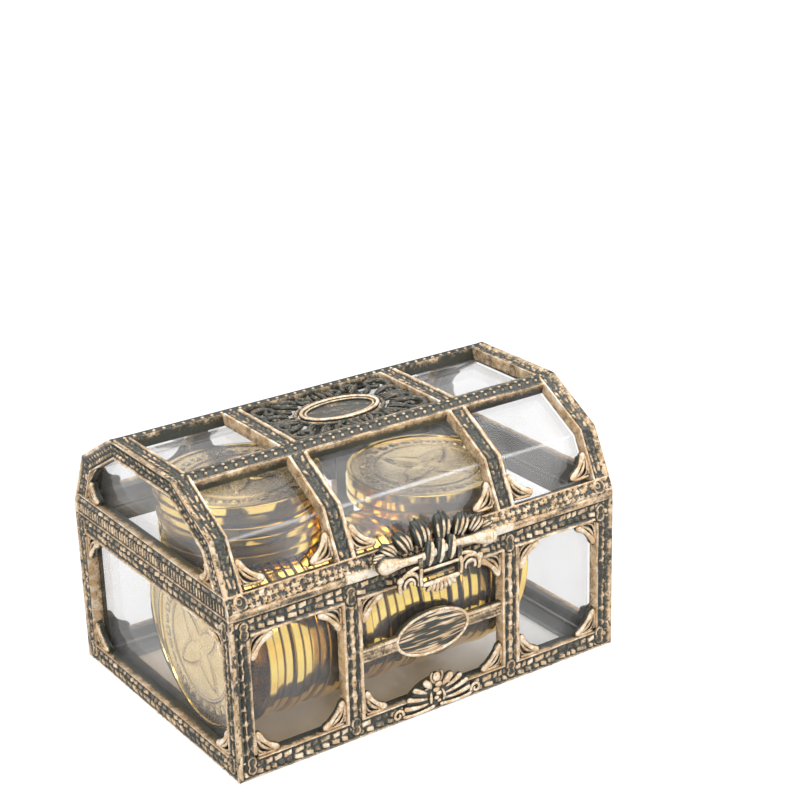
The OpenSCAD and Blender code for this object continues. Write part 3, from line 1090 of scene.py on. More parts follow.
    def leaves(self, side: Side) -> bpy.types.Object:
        """Builds the leaves in the corners of one side's windows."""
        s = self.size
        _, distance, edge = self._half(side)
        spans = s.spans if side.is_long else [(-edge, edge)]
        leaf, all_leaves = leaf_bracket(), Casting()
        all_leaves.add_copies(leaf, [
            Matrix.Translation((x, z, 0)) @ Matrix.Diagonal((along, up, 1, 1))
            for low, high in spans
            for x, along in ((low, 1), (high, -1))
            for z, up in ((s.foot_z, 1), (s.window_top, -1))
        ])
        return all_leaves.finish(
            f"base_leaves_{side.word}", Body.BASE, upright(side, distance), self.finishes,
            [f"base_brackets_{side.word}"],
        )

    def build(self) -> None:
        """Builds every side and the floor ring."""
        for side in Side:
            self.panel(side)
            self.leaves(side)
        self.floor_ring()


@dataclass
class FrontOrnament:
    """What decorates the front of the base: the strap, the oval plaque and the crest."""

    size: ChestSize
    finishes: Finishes

    def strap(self) -> None:
        """Builds the strap's two halves."""
        low, high = (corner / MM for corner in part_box("front_strap"))
        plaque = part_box("strap_plaque")[1].x / MM

        def carve(u: Array, v: Array) -> Relief:
            wood = grain(u, v, (3.0, 0.4), 5.0)
            border = ridge(v - high.z + 0.45, 0.35, 0.25)
            return np.clip(0.45 + 0.4 * wood + 0.5 * border, 0, 1), 0.35 + 0.45 * wood + 0.35 * border

        def half(sign: int) -> Callable[[Array, Array], tuple[Array, Array]]:
            return lambda u, v: tuple(
                np.stack([sign * u, np.full_like(u, y), v], axis=1) for y in (low.y, high.y)
            )

        for word, sign in (("left", -1), ("right", 1)):
            Sheet(
                f"strap_{word}", [plaque - 0.7, high.x], [low.z, high.z], half(sign), carve, deep=0.35
            ).finish(Body.BASE, Slot.RELIEF, self.finishes, "front_strap")

    def plaque(self) -> None:
        """Builds the oval plaque and its rim."""
        low, high = (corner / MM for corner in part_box("strap_plaque"))
        rx, rz, z = high.x, (high.z - low.z) / 2, (high.z + low.z) / 2

        def surface(u: Array, v: Array) -> tuple[Array, Array]:
            x, up = oval(u, v, rx - 0.35, rz - 0.35)
            return tuple(np.stack([x, np.full_like(x, y), z + up], axis=1) for y in (low.y + 0.25, high.y))

        def carve(u: Array, v: Array) -> Relief:
            across, up = u * rx, v * rz
            wood = 0.6 * grain(across, up, (3.4, 0.24), 3.0) + 0.4 * grain(across, up, (6.0, 0.6), 4.0)
            return wood, 0.95 * smooth(wood - 0.28, 0.5)

        Sheet(
            "plaque_face", [-1, 1], [-1, 1], surface, carve, step=(0.022, 0.022), deep=0.3
        ).finish(Body.BASE, Slot.RELIEF, self.finishes, "strap_plaque", self.finishes.wood_grain)
        rim = Casting()
        rim.add(strand(oval_route(rx - 0.4, rz - 0.4, z, 0.0, 80), (0.4, 0.4), 10, 90))
        rim.finish(
            "plaque_rim", Body.BASE, upright(Side.FRONT, -low.y - 0.42), self.finishes, ["strap_plaque"]
        )

    def crest(self) -> None:
        """Builds the lotus crest on the bottom rail."""
        crest = Casting()
        half_turn = np.radians(np.linspace(0, 180, 22))
        crest.add(slab([(8.0 * math.cos(a), 1.2 + 6.4 * math.sin(a)) for a in half_turn], -1.6, 0.1, 0.3),
                  None, 0.15)
        fingers = [
            ((1.4, 5.4), (2.6, 7.6), (3.9, 7.7), (0.3, 0.9, 0.85)),
            ((2.4, 4.6), (4.4, 6.0), (6.3, 6.8), (0.25, 0.6, 0.7)),
            ((2.2, 3.3), (4.8, 4.0), (7.9, 5.0), (0.25, 0.5, 0.7)),
            ((2.0, 2.2), (4.6, 2.2), (8.6, 3.0), (0.25, 0.5, 0.68)),
            ((1.3, 4.6), (2.0, 3.4), (1.5, 1.9), (0.2, 0.45, 0.25)),
        ]
        for start, lead, tip, width in fingers:
            crest.add_pair(lambda a=start, b=lead, c=tip, w=width: strand(
                bend((*a, -0.1), (*b, 0.6), (*c, 0.1)), w, 10, 14))
        crest.add_pair(lambda: strand(arc((2.9, 6.6), 0.75, 40, 300, 0.35), (0.2, 0.3, 0.2), 8, 14), 0.9)
        for k, z in enumerate((6.2, 5.1, 4.1, 3.2, 2.4)):
            r = 0.98 - 0.09 * k
            crest.add(ball((0.3 * (-1) ** k, z, 0.15), (r, r * 0.72, 0.75), 12))
        crest.add(ball((0, 7.9, -0.1), (1.05, 1.2, 0.85), 16))
        crest.add_pair(lambda: strand(arc((0, 8.0), 1.5, 275, 410, 0.0), (0.3, 0.36, 0.25), 8, 12), 0.8)
        scroll = arc((10.0, 2.0), (1.35, 0.25), 200, -250, 0.2)
        crest.add_pair(lambda: strand(scroll, (0.42, 0.36, 0.3), 8, 30))
        foot = bend((0.6, 1.3, 0.1), (5.5, 0.5, 0.3), (8.9, 1.3, 0.2))
        crest.add_pair(lambda: strand(foot, (0.45, 0.4, 0.4), 8, 12))
        crest.finish("crest_relief", Body.BASE, upright(Side.FRONT, self.size.half_d), self.finishes,
                     ["bottom_crest"], (-1.2, 0.4))

    def build(self) -> None:
        """Builds the strap, the plaque and the crest."""
        self.strap()
        self.plaque()
        self.crest()


# ------------------------------------------------------------------ lid


def inset(path: Sequence[tuple[float, float]], t: float) -> Array:
    """An open profile moved inwards by t on every stretch."""
    points = np.array(path)
    ahead = np.diff(points, axis=0)
    ahead /= np.linalg.norm(ahead, axis=1)[:, None]
    normals = np.stack([-ahead[:, 1], ahead[:, 0]], axis=1)
    before = np.vstack([normals[:1], normals])
    after = np.vstack([normals, normals[-1:]])
    meet = (before + after) / (1 + np.sum(before * after, axis=1))[:, None]
    return points - t * meet


@dataclass
class LidFrame:
    """The lid's openwork: two slopes, the crown, and the arched ends."""

    size: ChestSize
    finishes: Finishes

    def __post_init__(self) -> None:
        """Works out the profile and how far along it each level lies."""
        self.outer = np.array(self.size.outline)
        self.inner = inset(self.size.outline, self.size.wall)
        self.run = travelled(self.outer)

    def _run_at_z(self, z: float) -> float:
        """Distance along the front of the profile to a height."""
        return float(np.interp(z, self.outer[:4, 1], self.run[:4]))

    def _run_at_y(self, y: float) -> float:
        """Distance along the profile to a depth, past the bend."""
        return float(np.interp(y, self.outer[2:6, 0], self.run[2:6]))

    def _wrap(self, u: Array, v: Array, flip: bool) -> tuple[Array, Array]:
        """Outer and inner places on the lid, whose ends are mitred."""
        s = self.size
        shrink = (s.half_w - s.wall - s.window_x) / (s.half_w - s.window_x)
        mitred = np.sign(u) * (s.window_x + (np.abs(u) - s.window_x) * shrink)
        inner_u = np.where(np.abs(u) > s.window_x, mitred, u)
        sign = -1 if flip else 1
        return tuple(
            np.stack([
                sign * x, sign * np.interp(v, self.run, line[:, 0]), np.interp(v, self.run, line[:, 1])
            ], axis=1)
            for x, line in ((u, self.outer), (inner_u, self.inner))
        )

    def _rib(self, along: Array, across: Array, half: float, seed: float) -> Relief:
        """A rib: smooth borders and a scaly middle."""
        away = np.abs(across)
        lip = smooth(away - (half - 0.85), 0.16)
        woven = bricks(along, across + 1.3, 2.2, 1.3, seed + 4)
        body = np.maximum(woven, 0.5 * scales(along, across, 2.1, 1.25))
        bark = grain(across, along, (0.7, 2.2), seed + 1)
        height = np.maximum(body * 0.9, lip * (0.9 + 0.1 * bark))
        height *= groove(away - (half - 0.82), 0.14, 0.5)
        return height, height * (0.5 + 0.5 * bark) + 0.1 * lip

    def _end_rib(self, along: Array, from_end: Array, seed: float) -> Relief:
        """The rib at a lid's end: a smooth strip on the corner, then scales and a lip."""
        nick = 0.5 * smooth(grain(from_end, along, (0.5, 0.9), seed + 6) - 0.6, 0.12)
        strip = smooth(1.1 - from_end, 0.2) * (1 - nick)
        lip = smooth(from_end - 3.6, 0.15)
        woven = bricks(along, from_end - 1.1, 2.3, 1.25, seed + 4)
        body = np.maximum(woven, 0.5 * scales(along, from_end - 2.4, 2.2, 1.25))
        bark = grain(from_end, along, (0.7, 3.0), seed)
        height = np.maximum(np.maximum(body * 0.9, strip), lip * 0.95)
        paint = height * (0.5 + 0.5 * bark)
        return height, np.where(strip > 0.5, 0.58 + 0.4 * (bark - 0.4), paint * 1.1)

    def _ribs(
        self, under: Relief, u: Array, v: Array, rib_span: Array, end_span: Array, seeds: tuple[float, float]
    ) -> Relief:
        """Lays the two ribs and the end ribs over a relief.

        Args:
            under: The relief so far.
            u: Places along the chest.
            v: Places along the profile.
            rib_span: Where the profile can have a rib.
            end_span: Where it can have an end rib.
            seeds: The patterns of the ribs and of the end ribs.

        Returns:
            The relief with its ribs.
        """
        s = self.size
        for centre in (-s.rib_x, s.rib_x):
            is_rib = rib_span & (np.abs(u - centre) <= s.rib_w / 2 + ON_LINE)
            under = lay(self._rib(v, u - centre, s.rib_w / 2, seeds[0]), under, is_rib)
        end = self._end_rib(v, s.half_w - np.abs(u), seeds[1])
        return lay(end, under, end_span & (np.abs(u) >= s.window_x - ON_LINE))

    def _skirt(self, u: Array, v: Array, seed: float) -> Relief:
        """The bottom rail: a smooth lip, a band of rosettes, and a thin upper lip."""
        s = self.size
        top = self._run_at_z(s.skirt_z)
        lip = smooth(1.5 - v, 0.2)
        rail = smooth(v - (top - 0.42), 0.14)
        bloom = flowers(u, v, 1.4, seed)
        height = np.maximum(np.maximum(0.3 + 0.6 * bloom, lip), rail)
        height *= groove(v - 1.62, 0.14, 0.6)
        wear = grain(u, v, (5.0, 0.5), seed + 1)
        patch = smooth(5.0 - np.abs(np.abs(u) - 17.0), 1.5) * smooth(2.5 - v, 0.8)
        paint = np.where(v < 1.6, 0.56 + 0.5 * (wear - 0.4), 0.3 + 0.5 * bloom + 0.3 * (wear - 0.5))
        height = np.maximum(height, 0.9 * patch)
        paint = np.maximum(np.maximum(paint, patch), 0.75 * rail)
        for centre in (-s.window_x - 1.0, s.window_x + 1.0):
            away = np.hypot(u - centre, v - 3.4)
            ring = ridge(away - 1.35, 0.26, 0.2)
            inside = away < 1.35
            swirl = ridge(np.hypot(u - centre + 0.35, v - 3.7) - 0.6, 0.26, 0.2)
            height = np.where(inside, 0.35 + 0.5 * swirl, height)
            height = np.maximum(height * groove(away - 1.75, 0.2, 0.5), ring)
            paint = np.maximum(np.where(inside, 0.2 + 0.5 * swirl, paint), 0.8 * ring)
        return height, paint

    def _carve_slope(self, u: Array, v: Array, seed: float) -> Relief:
        """The relief of a slope, from the seam to the crown's edge."""
        s = self.size
        skirt, rail, crown = self._run_at_z(s.skirt_z), self._run_at_y(-s.crown_y - 2), self.run[3]
        above = v > skirt
        relief = self._ribs(self._skirt(u, v, seed), u, v, above, above, (seed + 2, seed + 4))
        lip = smooth(0.75 - (v - rail), 0.15)
        row = studs(u, crown - v - 0.62, 2.3, 0.48)
        top_rail = (
            np.maximum(lip, 0.25 + 0.75 * row),
            np.maximum(lip * (0.35 + 0.4 * grain(u, v, (4, 1), seed)), 0.8 * row),
        )
        between = above & (v > rail) & (np.abs(u) < s.window_x - ON_LINE)
        return self._edges(*lay(top_rail, relief, between), u, v, crown, seed)

    def _edges(self, height: Array, paint: Array, u: Array, v: Array, crown: float, seed: float) -> Relief:
        """Adds roughness, and keeps the edges that meet other sheets level."""
        s = self.size
        rough = 0.1 * (grain(u, v, (0.35, 0.35), seed + 7) - 0.5)
        rim = np.maximum(smooth(0.25 - (s.half_w - np.abs(u)), 0.25), smooth(0.2 - np.abs(v - crown), 0.2))
        return np.clip(height * 0.95 + rough, 0, 1) * (1 - rim) + 0.85 * rim, paint

    def slope(self, flip: bool) -> None:
        """Builds the front or the back slope."""
        s = self.size
        skirt, rail = self._run_at_z(s.skirt_z), self._run_at_y(-s.crown_y - 2)
        v_knots = [0, self.run[1], skirt, self.run[2], rail, self.run[3]]
        seed = 41.0 if flip else 23.0
        Sheet(
            "lid_slope_back" if flip else "lid_slope_front", s.knots, v_knots,
            lambda u, v: self._wrap(u, v, flip), lambda u, v: self._carve_slope(u, v, seed),
            frozenset((i, j) for i in (1, 3, 5) for j in (2, 3)),
        ).finish(Body.LID, Slot.FRAME, self.finishes, "lid_frame")

    def crown(self) -> None:
        """Builds the flat crown."""
        s = self.size
        edge = self._run_at_y(-s.crown_window_y)
        total = self.run[-1]
        v_knots = [self.run[3], edge, total - edge, self.run[4]]

        def carve(u: Array, v: Array) -> Relief:
            y = v - total / 2
            beyond = np.abs(y) - s.crown_window_y
            row = studs(u, np.abs(y) - (s.crown_y - 0.75), 2.3, 0.52)
            lip = smooth(0.45 - beyond, 0.15)
            height = np.maximum(0.85 * lip, 0.25 + 0.75 * row)
            paint = np.maximum(lip * (0.3 + 0.4 * grain(u, v, (3, 1), 69.0)), 0.85 * row)
            relief = self._ribs((height, paint), u, v, beyond < 0.3, beyond < 0.6, (61.0, 65.0))
            edge_v = np.where(y < 0, self.run[3], self.run[4])
            return self._edges(*relief, u, v, edge_v, 67.0)

        Sheet(
            "lid_crown", s.knots, v_knots, lambda u, v: self._wrap(u, v, False), carve,
            frozenset({(1, 1), (3, 1), (5, 1)}),
        ).finish(Body.LID, Slot.FRAME, self.finishes, "lid_frame")

    def _on_end(self, x: float, y: Array, z: Array) -> Array:
        """Places on an upright plane at x."""
        return np.stack([np.full_like(y, x), y, z], axis=1)

    def end_rail(self, side: Side) -> None:
        """Builds the rail below an end's window."""
        s, sign = self.size, side.sign
        lines = [(line[:4, 1], -line[:4, 0]) for line in (self.outer, self.inner)]

        def surface(u: Array, v: Array) -> tuple[Array, Array]:
            reach = [np.interp(v, zs, ys) for zs, ys in lines]
            return (self._on_end(sign * s.half_w, u * reach[0], v),
                    self._on_end(sign * (s.half_w - s.wall), u * reach[1], v))

        def carve(u: Array, v: Array) -> Relief:
            y, up = u * s.half_d, v - s.seam_z
            teeth = smooth(np.cos(y * math.tau / 1.15) + 0.3, 0.8)
            comb = teeth * smooth(up - 0.55, 0.15) * smooth(2.6 - up, 0.15)
            blocks = bricks(y, up - 2.8, 2.3, 1.5, 71.0) * (up > 2.8)
            lip = smooth(up - (s.skirt_z - s.seam_z - 0.45), 0.15)
            lower = smooth(0.35 - up, 0.12)
            height = np.maximum.reduce([0.8 * comb, blocks, lip, lower * 0.8])
            wear = grain(y, v, (2.4, 1.2), 73.0)
            rim = smooth(0.25 - s.half_d * (1 - np.abs(u)), 0.25)
            strip = smooth(1.0 - s.half_d * (1 - np.abs(u)), 0.2)
            height = np.maximum(height, strip)
            return np.maximum(height, rim), np.maximum(height * (0.68 + 0.45 * wear), 0.6 * strip)

        Sheet(
            f"lid_end_rail_{side.word}", [-1, 1], [s.seam_z, s.base_h + s.lip_h, s.skirt_z], surface, carve,
            step=(0.2 / s.half_d, 0.2),
        ).finish(Body.LID, Slot.FRAME, self.finishes, "lid_frame")

    def _cut(self, line: Array) -> Array:
        """The part of a profile above the bottom rail."""
        level = self.size.skirt_z
        y = float(np.interp(level, line[:4, 1], line[:4, 0]))
        above = line[2:6]
        return np.vstack([[y, level], above, [-y, level]])

    def end_arch(self, side: Side) -> None:
        """Builds the arched band round an end's window."""
        s, sign = self.size, side.sign
        lines = [self._cut(line) for line in (self.outer, self.inner, inset(s.outline, s.arch_w))]
        outer = lines[0]
        run = travelled(outer)

        def surface(u: Array, v: Array) -> tuple[Array, Array]:
            ends = [np.stack([np.interp(u, run, line[:, k]) for k in (0, 1)], axis=1) for line in lines]
            t = (v / s.arch_w)[:, None]
            faces = [(1 - t) * ends[k] + t * ends[2] for k in (0, 1)]
            return (self._on_end(sign * s.half_w, faces[0][:, 0], faces[0][:, 1]),
                    self._on_end(sign * (s.half_w - s.wall), faces[1][:, 0], faces[1][:, 1]))

        def carve(u: Array, v: Array) -> Relief:
            strip = smooth(0.55 - v, 0.15)
            lip = smooth(v - (s.arch_w - 0.5), 0.15)
            blocks = bricks(u, v - 0.7, 1.75, 1.35, 81.0) * (v > 0.7)
            height = np.maximum.reduce([strip, lip, blocks])
            wear = grain(u, v, (2.2, 1.2), 83.0)
            return height, height * (0.5 + 0.5 * wear) + 0.1 * lip

        Sheet(
            f"lid_end_arch_{side.word}", list(run), [0, s.arch_w], surface, carve, wall_paint=0.0
        ).finish(Body.LID, Slot.FRAME, self.finishes, "lid_frame")

    def slope_leaves(self, side: Side) -> None:
        """Builds the leaves at the foot of a slope's windows."""
        s = self.size
        lean = math.atan2(s.half_d - s.bend_y, s.bend_h - s.lip_h)
        foot = s.half_d - (s.skirt_z - s.base_h - s.lip_h) * math.tan(lean)
        leaf, all_leaves = leaf_bracket(), Casting()
        all_leaves.add_copies(leaf, [
            Matrix.Translation((x, 0.9, 0)) @ Matrix.Diagonal((along, 1, 1, 1))
            for low, high in s.spans for x, along in ((low, 1), (high, -1))
        ])
        place = upright(side, foot, s.skirt_z) @ Matrix.Rotation(-lean, 4, "X")
        all_leaves.finish(
            f"lid_leaves_{side.word}", Body.LID, place, self.finishes, [f"lid_brackets_{side.word}"]
        )

    def end_leaves(self, side: Side) -> None:
        """Builds the leaves in the lower and upper corners of an end's window."""
        s = self.size
        window = self._cut(inset(s.outline, s.arch_w))
        leaf, all_leaves = leaf_bracket(), Casting()
        lower, knee, crown = window[0], window[1], window[2]
        up = (knee - lower) / np.linalg.norm(knee - lower)
        over = (crown - knee) / np.linalg.norm(crown - knee)

        def skew(origin: Array, first: Array, second: Array, scale: float, sign: int) -> Matrix:
            a, b = first * scale, second * scale
            return Matrix(((sign * a[0], sign * b[0], 0, sign * origin[0]), (a[1], b[1], 0, origin[1]),
                           (0, 0, 1, 0), (0, 0, 0, 1)))

        for sign in (-1, 1):
            all_leaves.add_copies(leaf, [
                skew(lower, np.array([1.0, 0.0]), up, 0.95, sign),
                skew(knee, -up, over, 0.62, sign),
            ])
        all_leaves.finish(f"lid_leaves_{side.word}", Body.LID, upright(side, s.half_w), self.finishes,
                          [f"lid_brackets_{side.word}"])

    def build(self) -> None:
        """Builds the whole lid frame."""
        for side, flip in ((Side.FRONT, False), (Side.BACK, True)):
            self.slope(flip)
            self.slope_leaves(side)
        self.crown()
        for side in (Side.LEFT, Side.RIGHT):
            self.end_rail(side)
            self.end_arch(side)
            self.end_leaves(side)


@dataclass
class CrownPanel:
    """The openwork in the crown's middle window: an oval with scrolls and leaves round it."""

    size: ChestSize
    finishes: Finishes

    def cartouche(self) -> None:
        """Builds the plain oval and its double rim."""
        low, high = (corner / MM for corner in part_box("crown_cartouche"))
        rx, ry = high.x, high.y

        def surface(u: Array, v: Array) -> tuple[Array, Array]:
            x, y = oval(u, v, rx - 0.3, ry - 0.3)
            return tuple(np.stack([x, y, np.full_like(x, z)], axis=1) for z in (low.z + 1.15, low.z))

        def carve(u: Array, v: Array) -> Relief:
            soft = grain(u * rx, v * ry, (2.4, 0.9), 91.0)
            return 0.6 + 0.4 * soft, 0.1 + 0.4 * soft

        Sheet(
            "cartouche_face", [-1, 1], [-1, 1], surface, carve, step=(0.03, 0.03), deep=0.15
        ).finish(Body.LID, Slot.FRAME, self.finishes, "crown_cartouche")
        rim = Casting()
        for inward, width, height in ((0.45, 0.45, -0.45), (1.45, 0.3, -0.55)):
            rim.add(strand(oval_route(rx - inward, ry - inward, 0.0, height, 90), (width, width), 9, 96))
        for a in np.radians(np.arange(0, 360, 7.5)):
            bead = ((rx - 0.97) * math.cos(a), (ry - 0.97) * math.sin(a), -0.6)
            rim.add(ball(bead, (0.26, 0.26, 0.24), 6), None, 0.9)
        rim.finish("cartouche_rim", Body.LID, Matrix.Translation((0, 0, high.z)), self.finishes,
                   ["crown_cartouche"], (-0.9, -0.1))

    def filigree(self) -> None:
        """Builds the scrolls and leaves."""
        edge_x, edge_y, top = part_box("lid_filigree")[1] / MM
        quarter = Casting()
        scrolls = [
            ((13.9, 7.4), (3.5, 0.6), -70, 350, (0.85, 0.7, 0.4)),
            ((8.4, 8.7), (2.2, 0.5), 200, -190, (0.7, 0.55, 0.35)),
            ((3.7, 8.9), (2.0, 0.5), 250, 600, (0.65, 0.5, 0.35)),
            ((14.8, 2.3), (2.3, 0.5), 110, -280, (0.7, 0.55, 0.35)),
        ]
        for centre, radii, start, end, width in scrolls:
            quarter.add(strand(arc(centre, radii, start, end, -0.6), width, 8, 30))
            quarter.add(ball((*centre, -0.6), (0.6, 0.6, 0.55), 10))
        leaves = [
            ((9.0, 4.6), (11.5, 5.2), (12.2, 8.0)), ((6.4, 6.2), (8.2, 7.0), (11.2, 10.4)),
            ((2.6, 6.4), (3.0, 8.6), (1.2, 10.8)), ((11.0, 2.6), (12.6, 4.2), (16.6, 4.6)),
            ((15.8, 9.8), (17.0, 8.2), (17.4, 5.6)), ((10.4, 1.0), (13.2, 0.4), (17.6, 0.6)),
            ((0.7, 6.2), (1.2, 8.2), (0.5, 10.9)),
        ]
        for start, lead, tip in leaves:
            quarter.add(strand(bend((*start, -0.9), (*lead, -0.5), (*tip, -0.8)), (0.4, 0.8, 0.3), 8, 12))
            vein = bend((*start, -0.3), (*lead, 0.1), (*tip, -0.4))
            quarter.add(strand(vein, (0.12, 0.2, 0.12), 6, 10), None, 1.4)
        whole = Casting()
        whole.add_copies(quarter, [Matrix.Diagonal((a, b, 1, 1)) for a in (1, -1) for b in (1, -1)])
        whole.strengths = [strength * 0.43 for strength in whole.strengths]
        whole.add(strand(oval_route(10.4, 6.7, 0.0, -0.9, 80, 364), (0.55, 0.55), 8, 80), None, 0.7)
        for sign in (-1, 1):
            whole.add(slab([(-edge_x, -0.5), (edge_x, -0.5), (edge_x, 0.5), (-edge_x, 0.5)], -1.7, -1.2, 0.1),
                      Matrix.Translation((0, sign * (edge_y - 0.6), 0)), 0.2)
        for vert in whole.bm.verts:
            vert.co.x = min(max(vert.co.x, -edge_x), edge_x)
            vert.co.y = min(max(vert.co.y, -edge_y), edge_y)
        whole.finish("crown_scrolls", Body.LID, Matrix.Translation((0, 0, top)), self.finishes,
                     ["lid_filigree"], (-1.3, -0.1))

    def build(self) -> None:
        """Builds the oval and the scrolls."""
        self.cartouche()
        self.filigree()


@dataclass
class Clasp:
    """The clasp: shell fans, a bar with knobbed ends bound by ribbons, and a slotted plate."""

    size: ChestSize
    finishes: Finishes
    bar_up: float = 2.2
    slot_w: float = 8.6
    slot_h: float = 2.6
    slot_up: float = -2.1
    plate_back: float = 1.35
    plate_front: float = 3.2

    def _fans(self, clasp: Casting) -> None:
        """Curled lobes that lie on the slope behind the bar, each with pale ridges on a dark body."""
        s = self.size
        lean = math.atan2(s.half_d - s.bend_y, s.bend_h - s.lip_h)
        slope = Matrix.Translation((0, s.lip_h, 0)) @ Matrix.Rotation(-lean, 4, "X")
        lobes = ((2.5, 2, 6.0, 2.0), (6.2, 22, 5.0, 1.7), (9.5, 40, 4.0, 1.3), (11.9, 66, 2.9, 1.0))
        across_body = (-0.75, -0.1, 0.6)
        for x, turn, length, width in lobes:
            for sign in (-1, 1):
                place = slope @ Matrix.Translation((sign * x, 0.5, 0.1)) @ Matrix.Rotation(
                    math.radians(-sign * turn), 4, "Z") @ Matrix.Diagonal((sign, 1, 1, 1))
                body = bend((-0.3, 0, 0.2), (0.1, length * 0.6, 0.9), (0.5, length, 0.3))
                clasp.add(strand(body, (width * 0.7, width, width * 0.85), 14, 16, 0.75), place, 0.08)
                for across in across_body:
                    swell, crown = width * across, 0.75 * width * math.sqrt(1 - across ** 2)
                    rib = bend(
                        (swell * 0.6 - 0.2, 0.2, 0.6),
                        (swell * 1.35 + 0.1, length * 0.6, 0.75 + 2 * crown),
                        (0.5 + swell * 0.7, length * (1.08 - 0.12 * abs(across)), 0.5),
                    )
                    clasp.add(strand(rib, (0.26, 0.4, 0.28), 8, 16), place)

    def _bar(self, clasp: Casting) -> None:
        """The knobbed bar and the three ribbons that cross its middle."""
        up = self.bar_up
        route = np.array([(x, up + 0.35 * math.sin(x / 3.2), 1.5) for x in np.linspace(-15.0, 15.0, 40)])
        half_width = (1.75, 1.95, 1.5, 1.0, 0.95, 1.0, 1.05)
        clasp.add(strand(route, (*half_width, half_width[-1], *reversed(half_width)), 18, 70, 0.9))
        clasp.add_pair(lambda: strand(arc((14.2, up + 0.2), 1.5, 100, 250, 2.2), (0.25, 0.4, 0.25), 8, 12), 0.9)
        for x in (-2.7, 0.0, 2.7):
            fall = bend(
                (x + 0.8, up + 2.5, 1.2), (x + 0.6, up + 1.8, 2.4),
                (x - 0.1, up - 1.4, 2.4), (x - 0.4, up - 2.5, 1.8),
            )
            clasp.add(strand(fall - (0, 0, 0.2), (0.75, 1.0, 1.0, 0.75), 12, 18), None, 0.2)
            clasp.add(strand(fall + (0.3, 0.1, 0.48), (0.3, 0.58, 0.58, 0.3), 9, 18))

    def _plate(self, clasp: Casting) -> None:
        """The slotted frame that hangs over the catch, its scrolls and its shell."""
        half, up, tall = self.slot_w / 2, self.slot_up, self.slot_h / 2
        front, back = self.plate_front, self.plate_back
        for sign in (-1, 1):
            x = sign * (half + 0.55)
            clasp.add(slab([(x - 0.55, up - tall - 1.0), (x + 0.55, up - tall - 1.0), (x + 0.55, self.bar_up),
                            (x - 0.55, self.bar_up)], back, front - 0.5, 0.2), None, 0.5)
            clasp.add(strand(bend((x, up - tall - 0.6, front - 0.7), (x + sign * 0.5, up, front - 0.3),
                                  (x, up + tall + 0.9, front - 0.7)), (0.5, 0.42, 0.55), 9, 14))
        clasp.add(slab([(-half, up + tall), (half, up + tall), (half, self.bar_up), (-half, self.bar_up)],
                       back, front - 0.9, 0.2), None, 0.25)
        for y, r in ((up - tall - 0.45, 0.62), (up + tall + 0.1, 0.4)):
            ends = np.array([(sign * (half + 0.4), y, front - 0.62) for sign in (-1, 1)])
            clasp.add(strand(ends, (r, r), 10, 10))
        foot = up - tall - 1.0
        half_turn = np.radians(np.linspace(180, 360, 18))
        shell = [(3.9 * math.cos(a), foot + 0.5 + 2.4 * math.sin(a)) for a in half_turn]
        clasp.add(slab(shell, back, back + 0.7, 0.2), None, 0.2)
        for k in range(-3, 4):
            tip = (k * 1.15, foot - 2.1 + 0.2 * k * k * 0.55, back + 0.7)
            clasp.add(strand(bend((k * 0.75, foot + 0.3, back + 0.9), (k * 1.1, foot - 0.8, back + 1.75), tip),
                             (0.34, 0.52, 0.42), 8, 10))
        for r, w, z in ((2.45, 0.55, back + 0.8), (1.25, 0.42, back + 0.95)):
            scroll, widths = arc((half + 3.3, up - 0.9), r, 205, -35, z), (w * 0.7, w, w * 0.9)
            clasp.add_pair(lambda scroll=scroll, widths=widths: strand(scroll, widths, 9, 20))
        clasp.add_pair(lambda: ball((half + 5.6, up + 0.7, back + 0.9), (0.95, 0.85, 0.8), 12))
        arm = bend((half + 5.2, up + 0.8, back + 0.8), (half + 3.4, up + 2.6, back + 1.0),
                   (half + 0.6, up + 2.4, back + 0.9))
        clasp.add_pair(lambda: strand(arm, (0.4, 0.5, 0.4), 8, 12))

    def build(self) -> None:
        """Builds the clasp as one piece."""
        clasp = Casting()
        self._fans(clasp)
        self._bar(clasp)
        self._plate(clasp)
        clasp.finish("clasp_relief", Body.LID, upright(Side.FRONT, self.size.half_d, self.size.base_h),
                     self.finishes, ["clasp"], (-0.6, 0.5))


# ------------------------------------------------------------------ coins


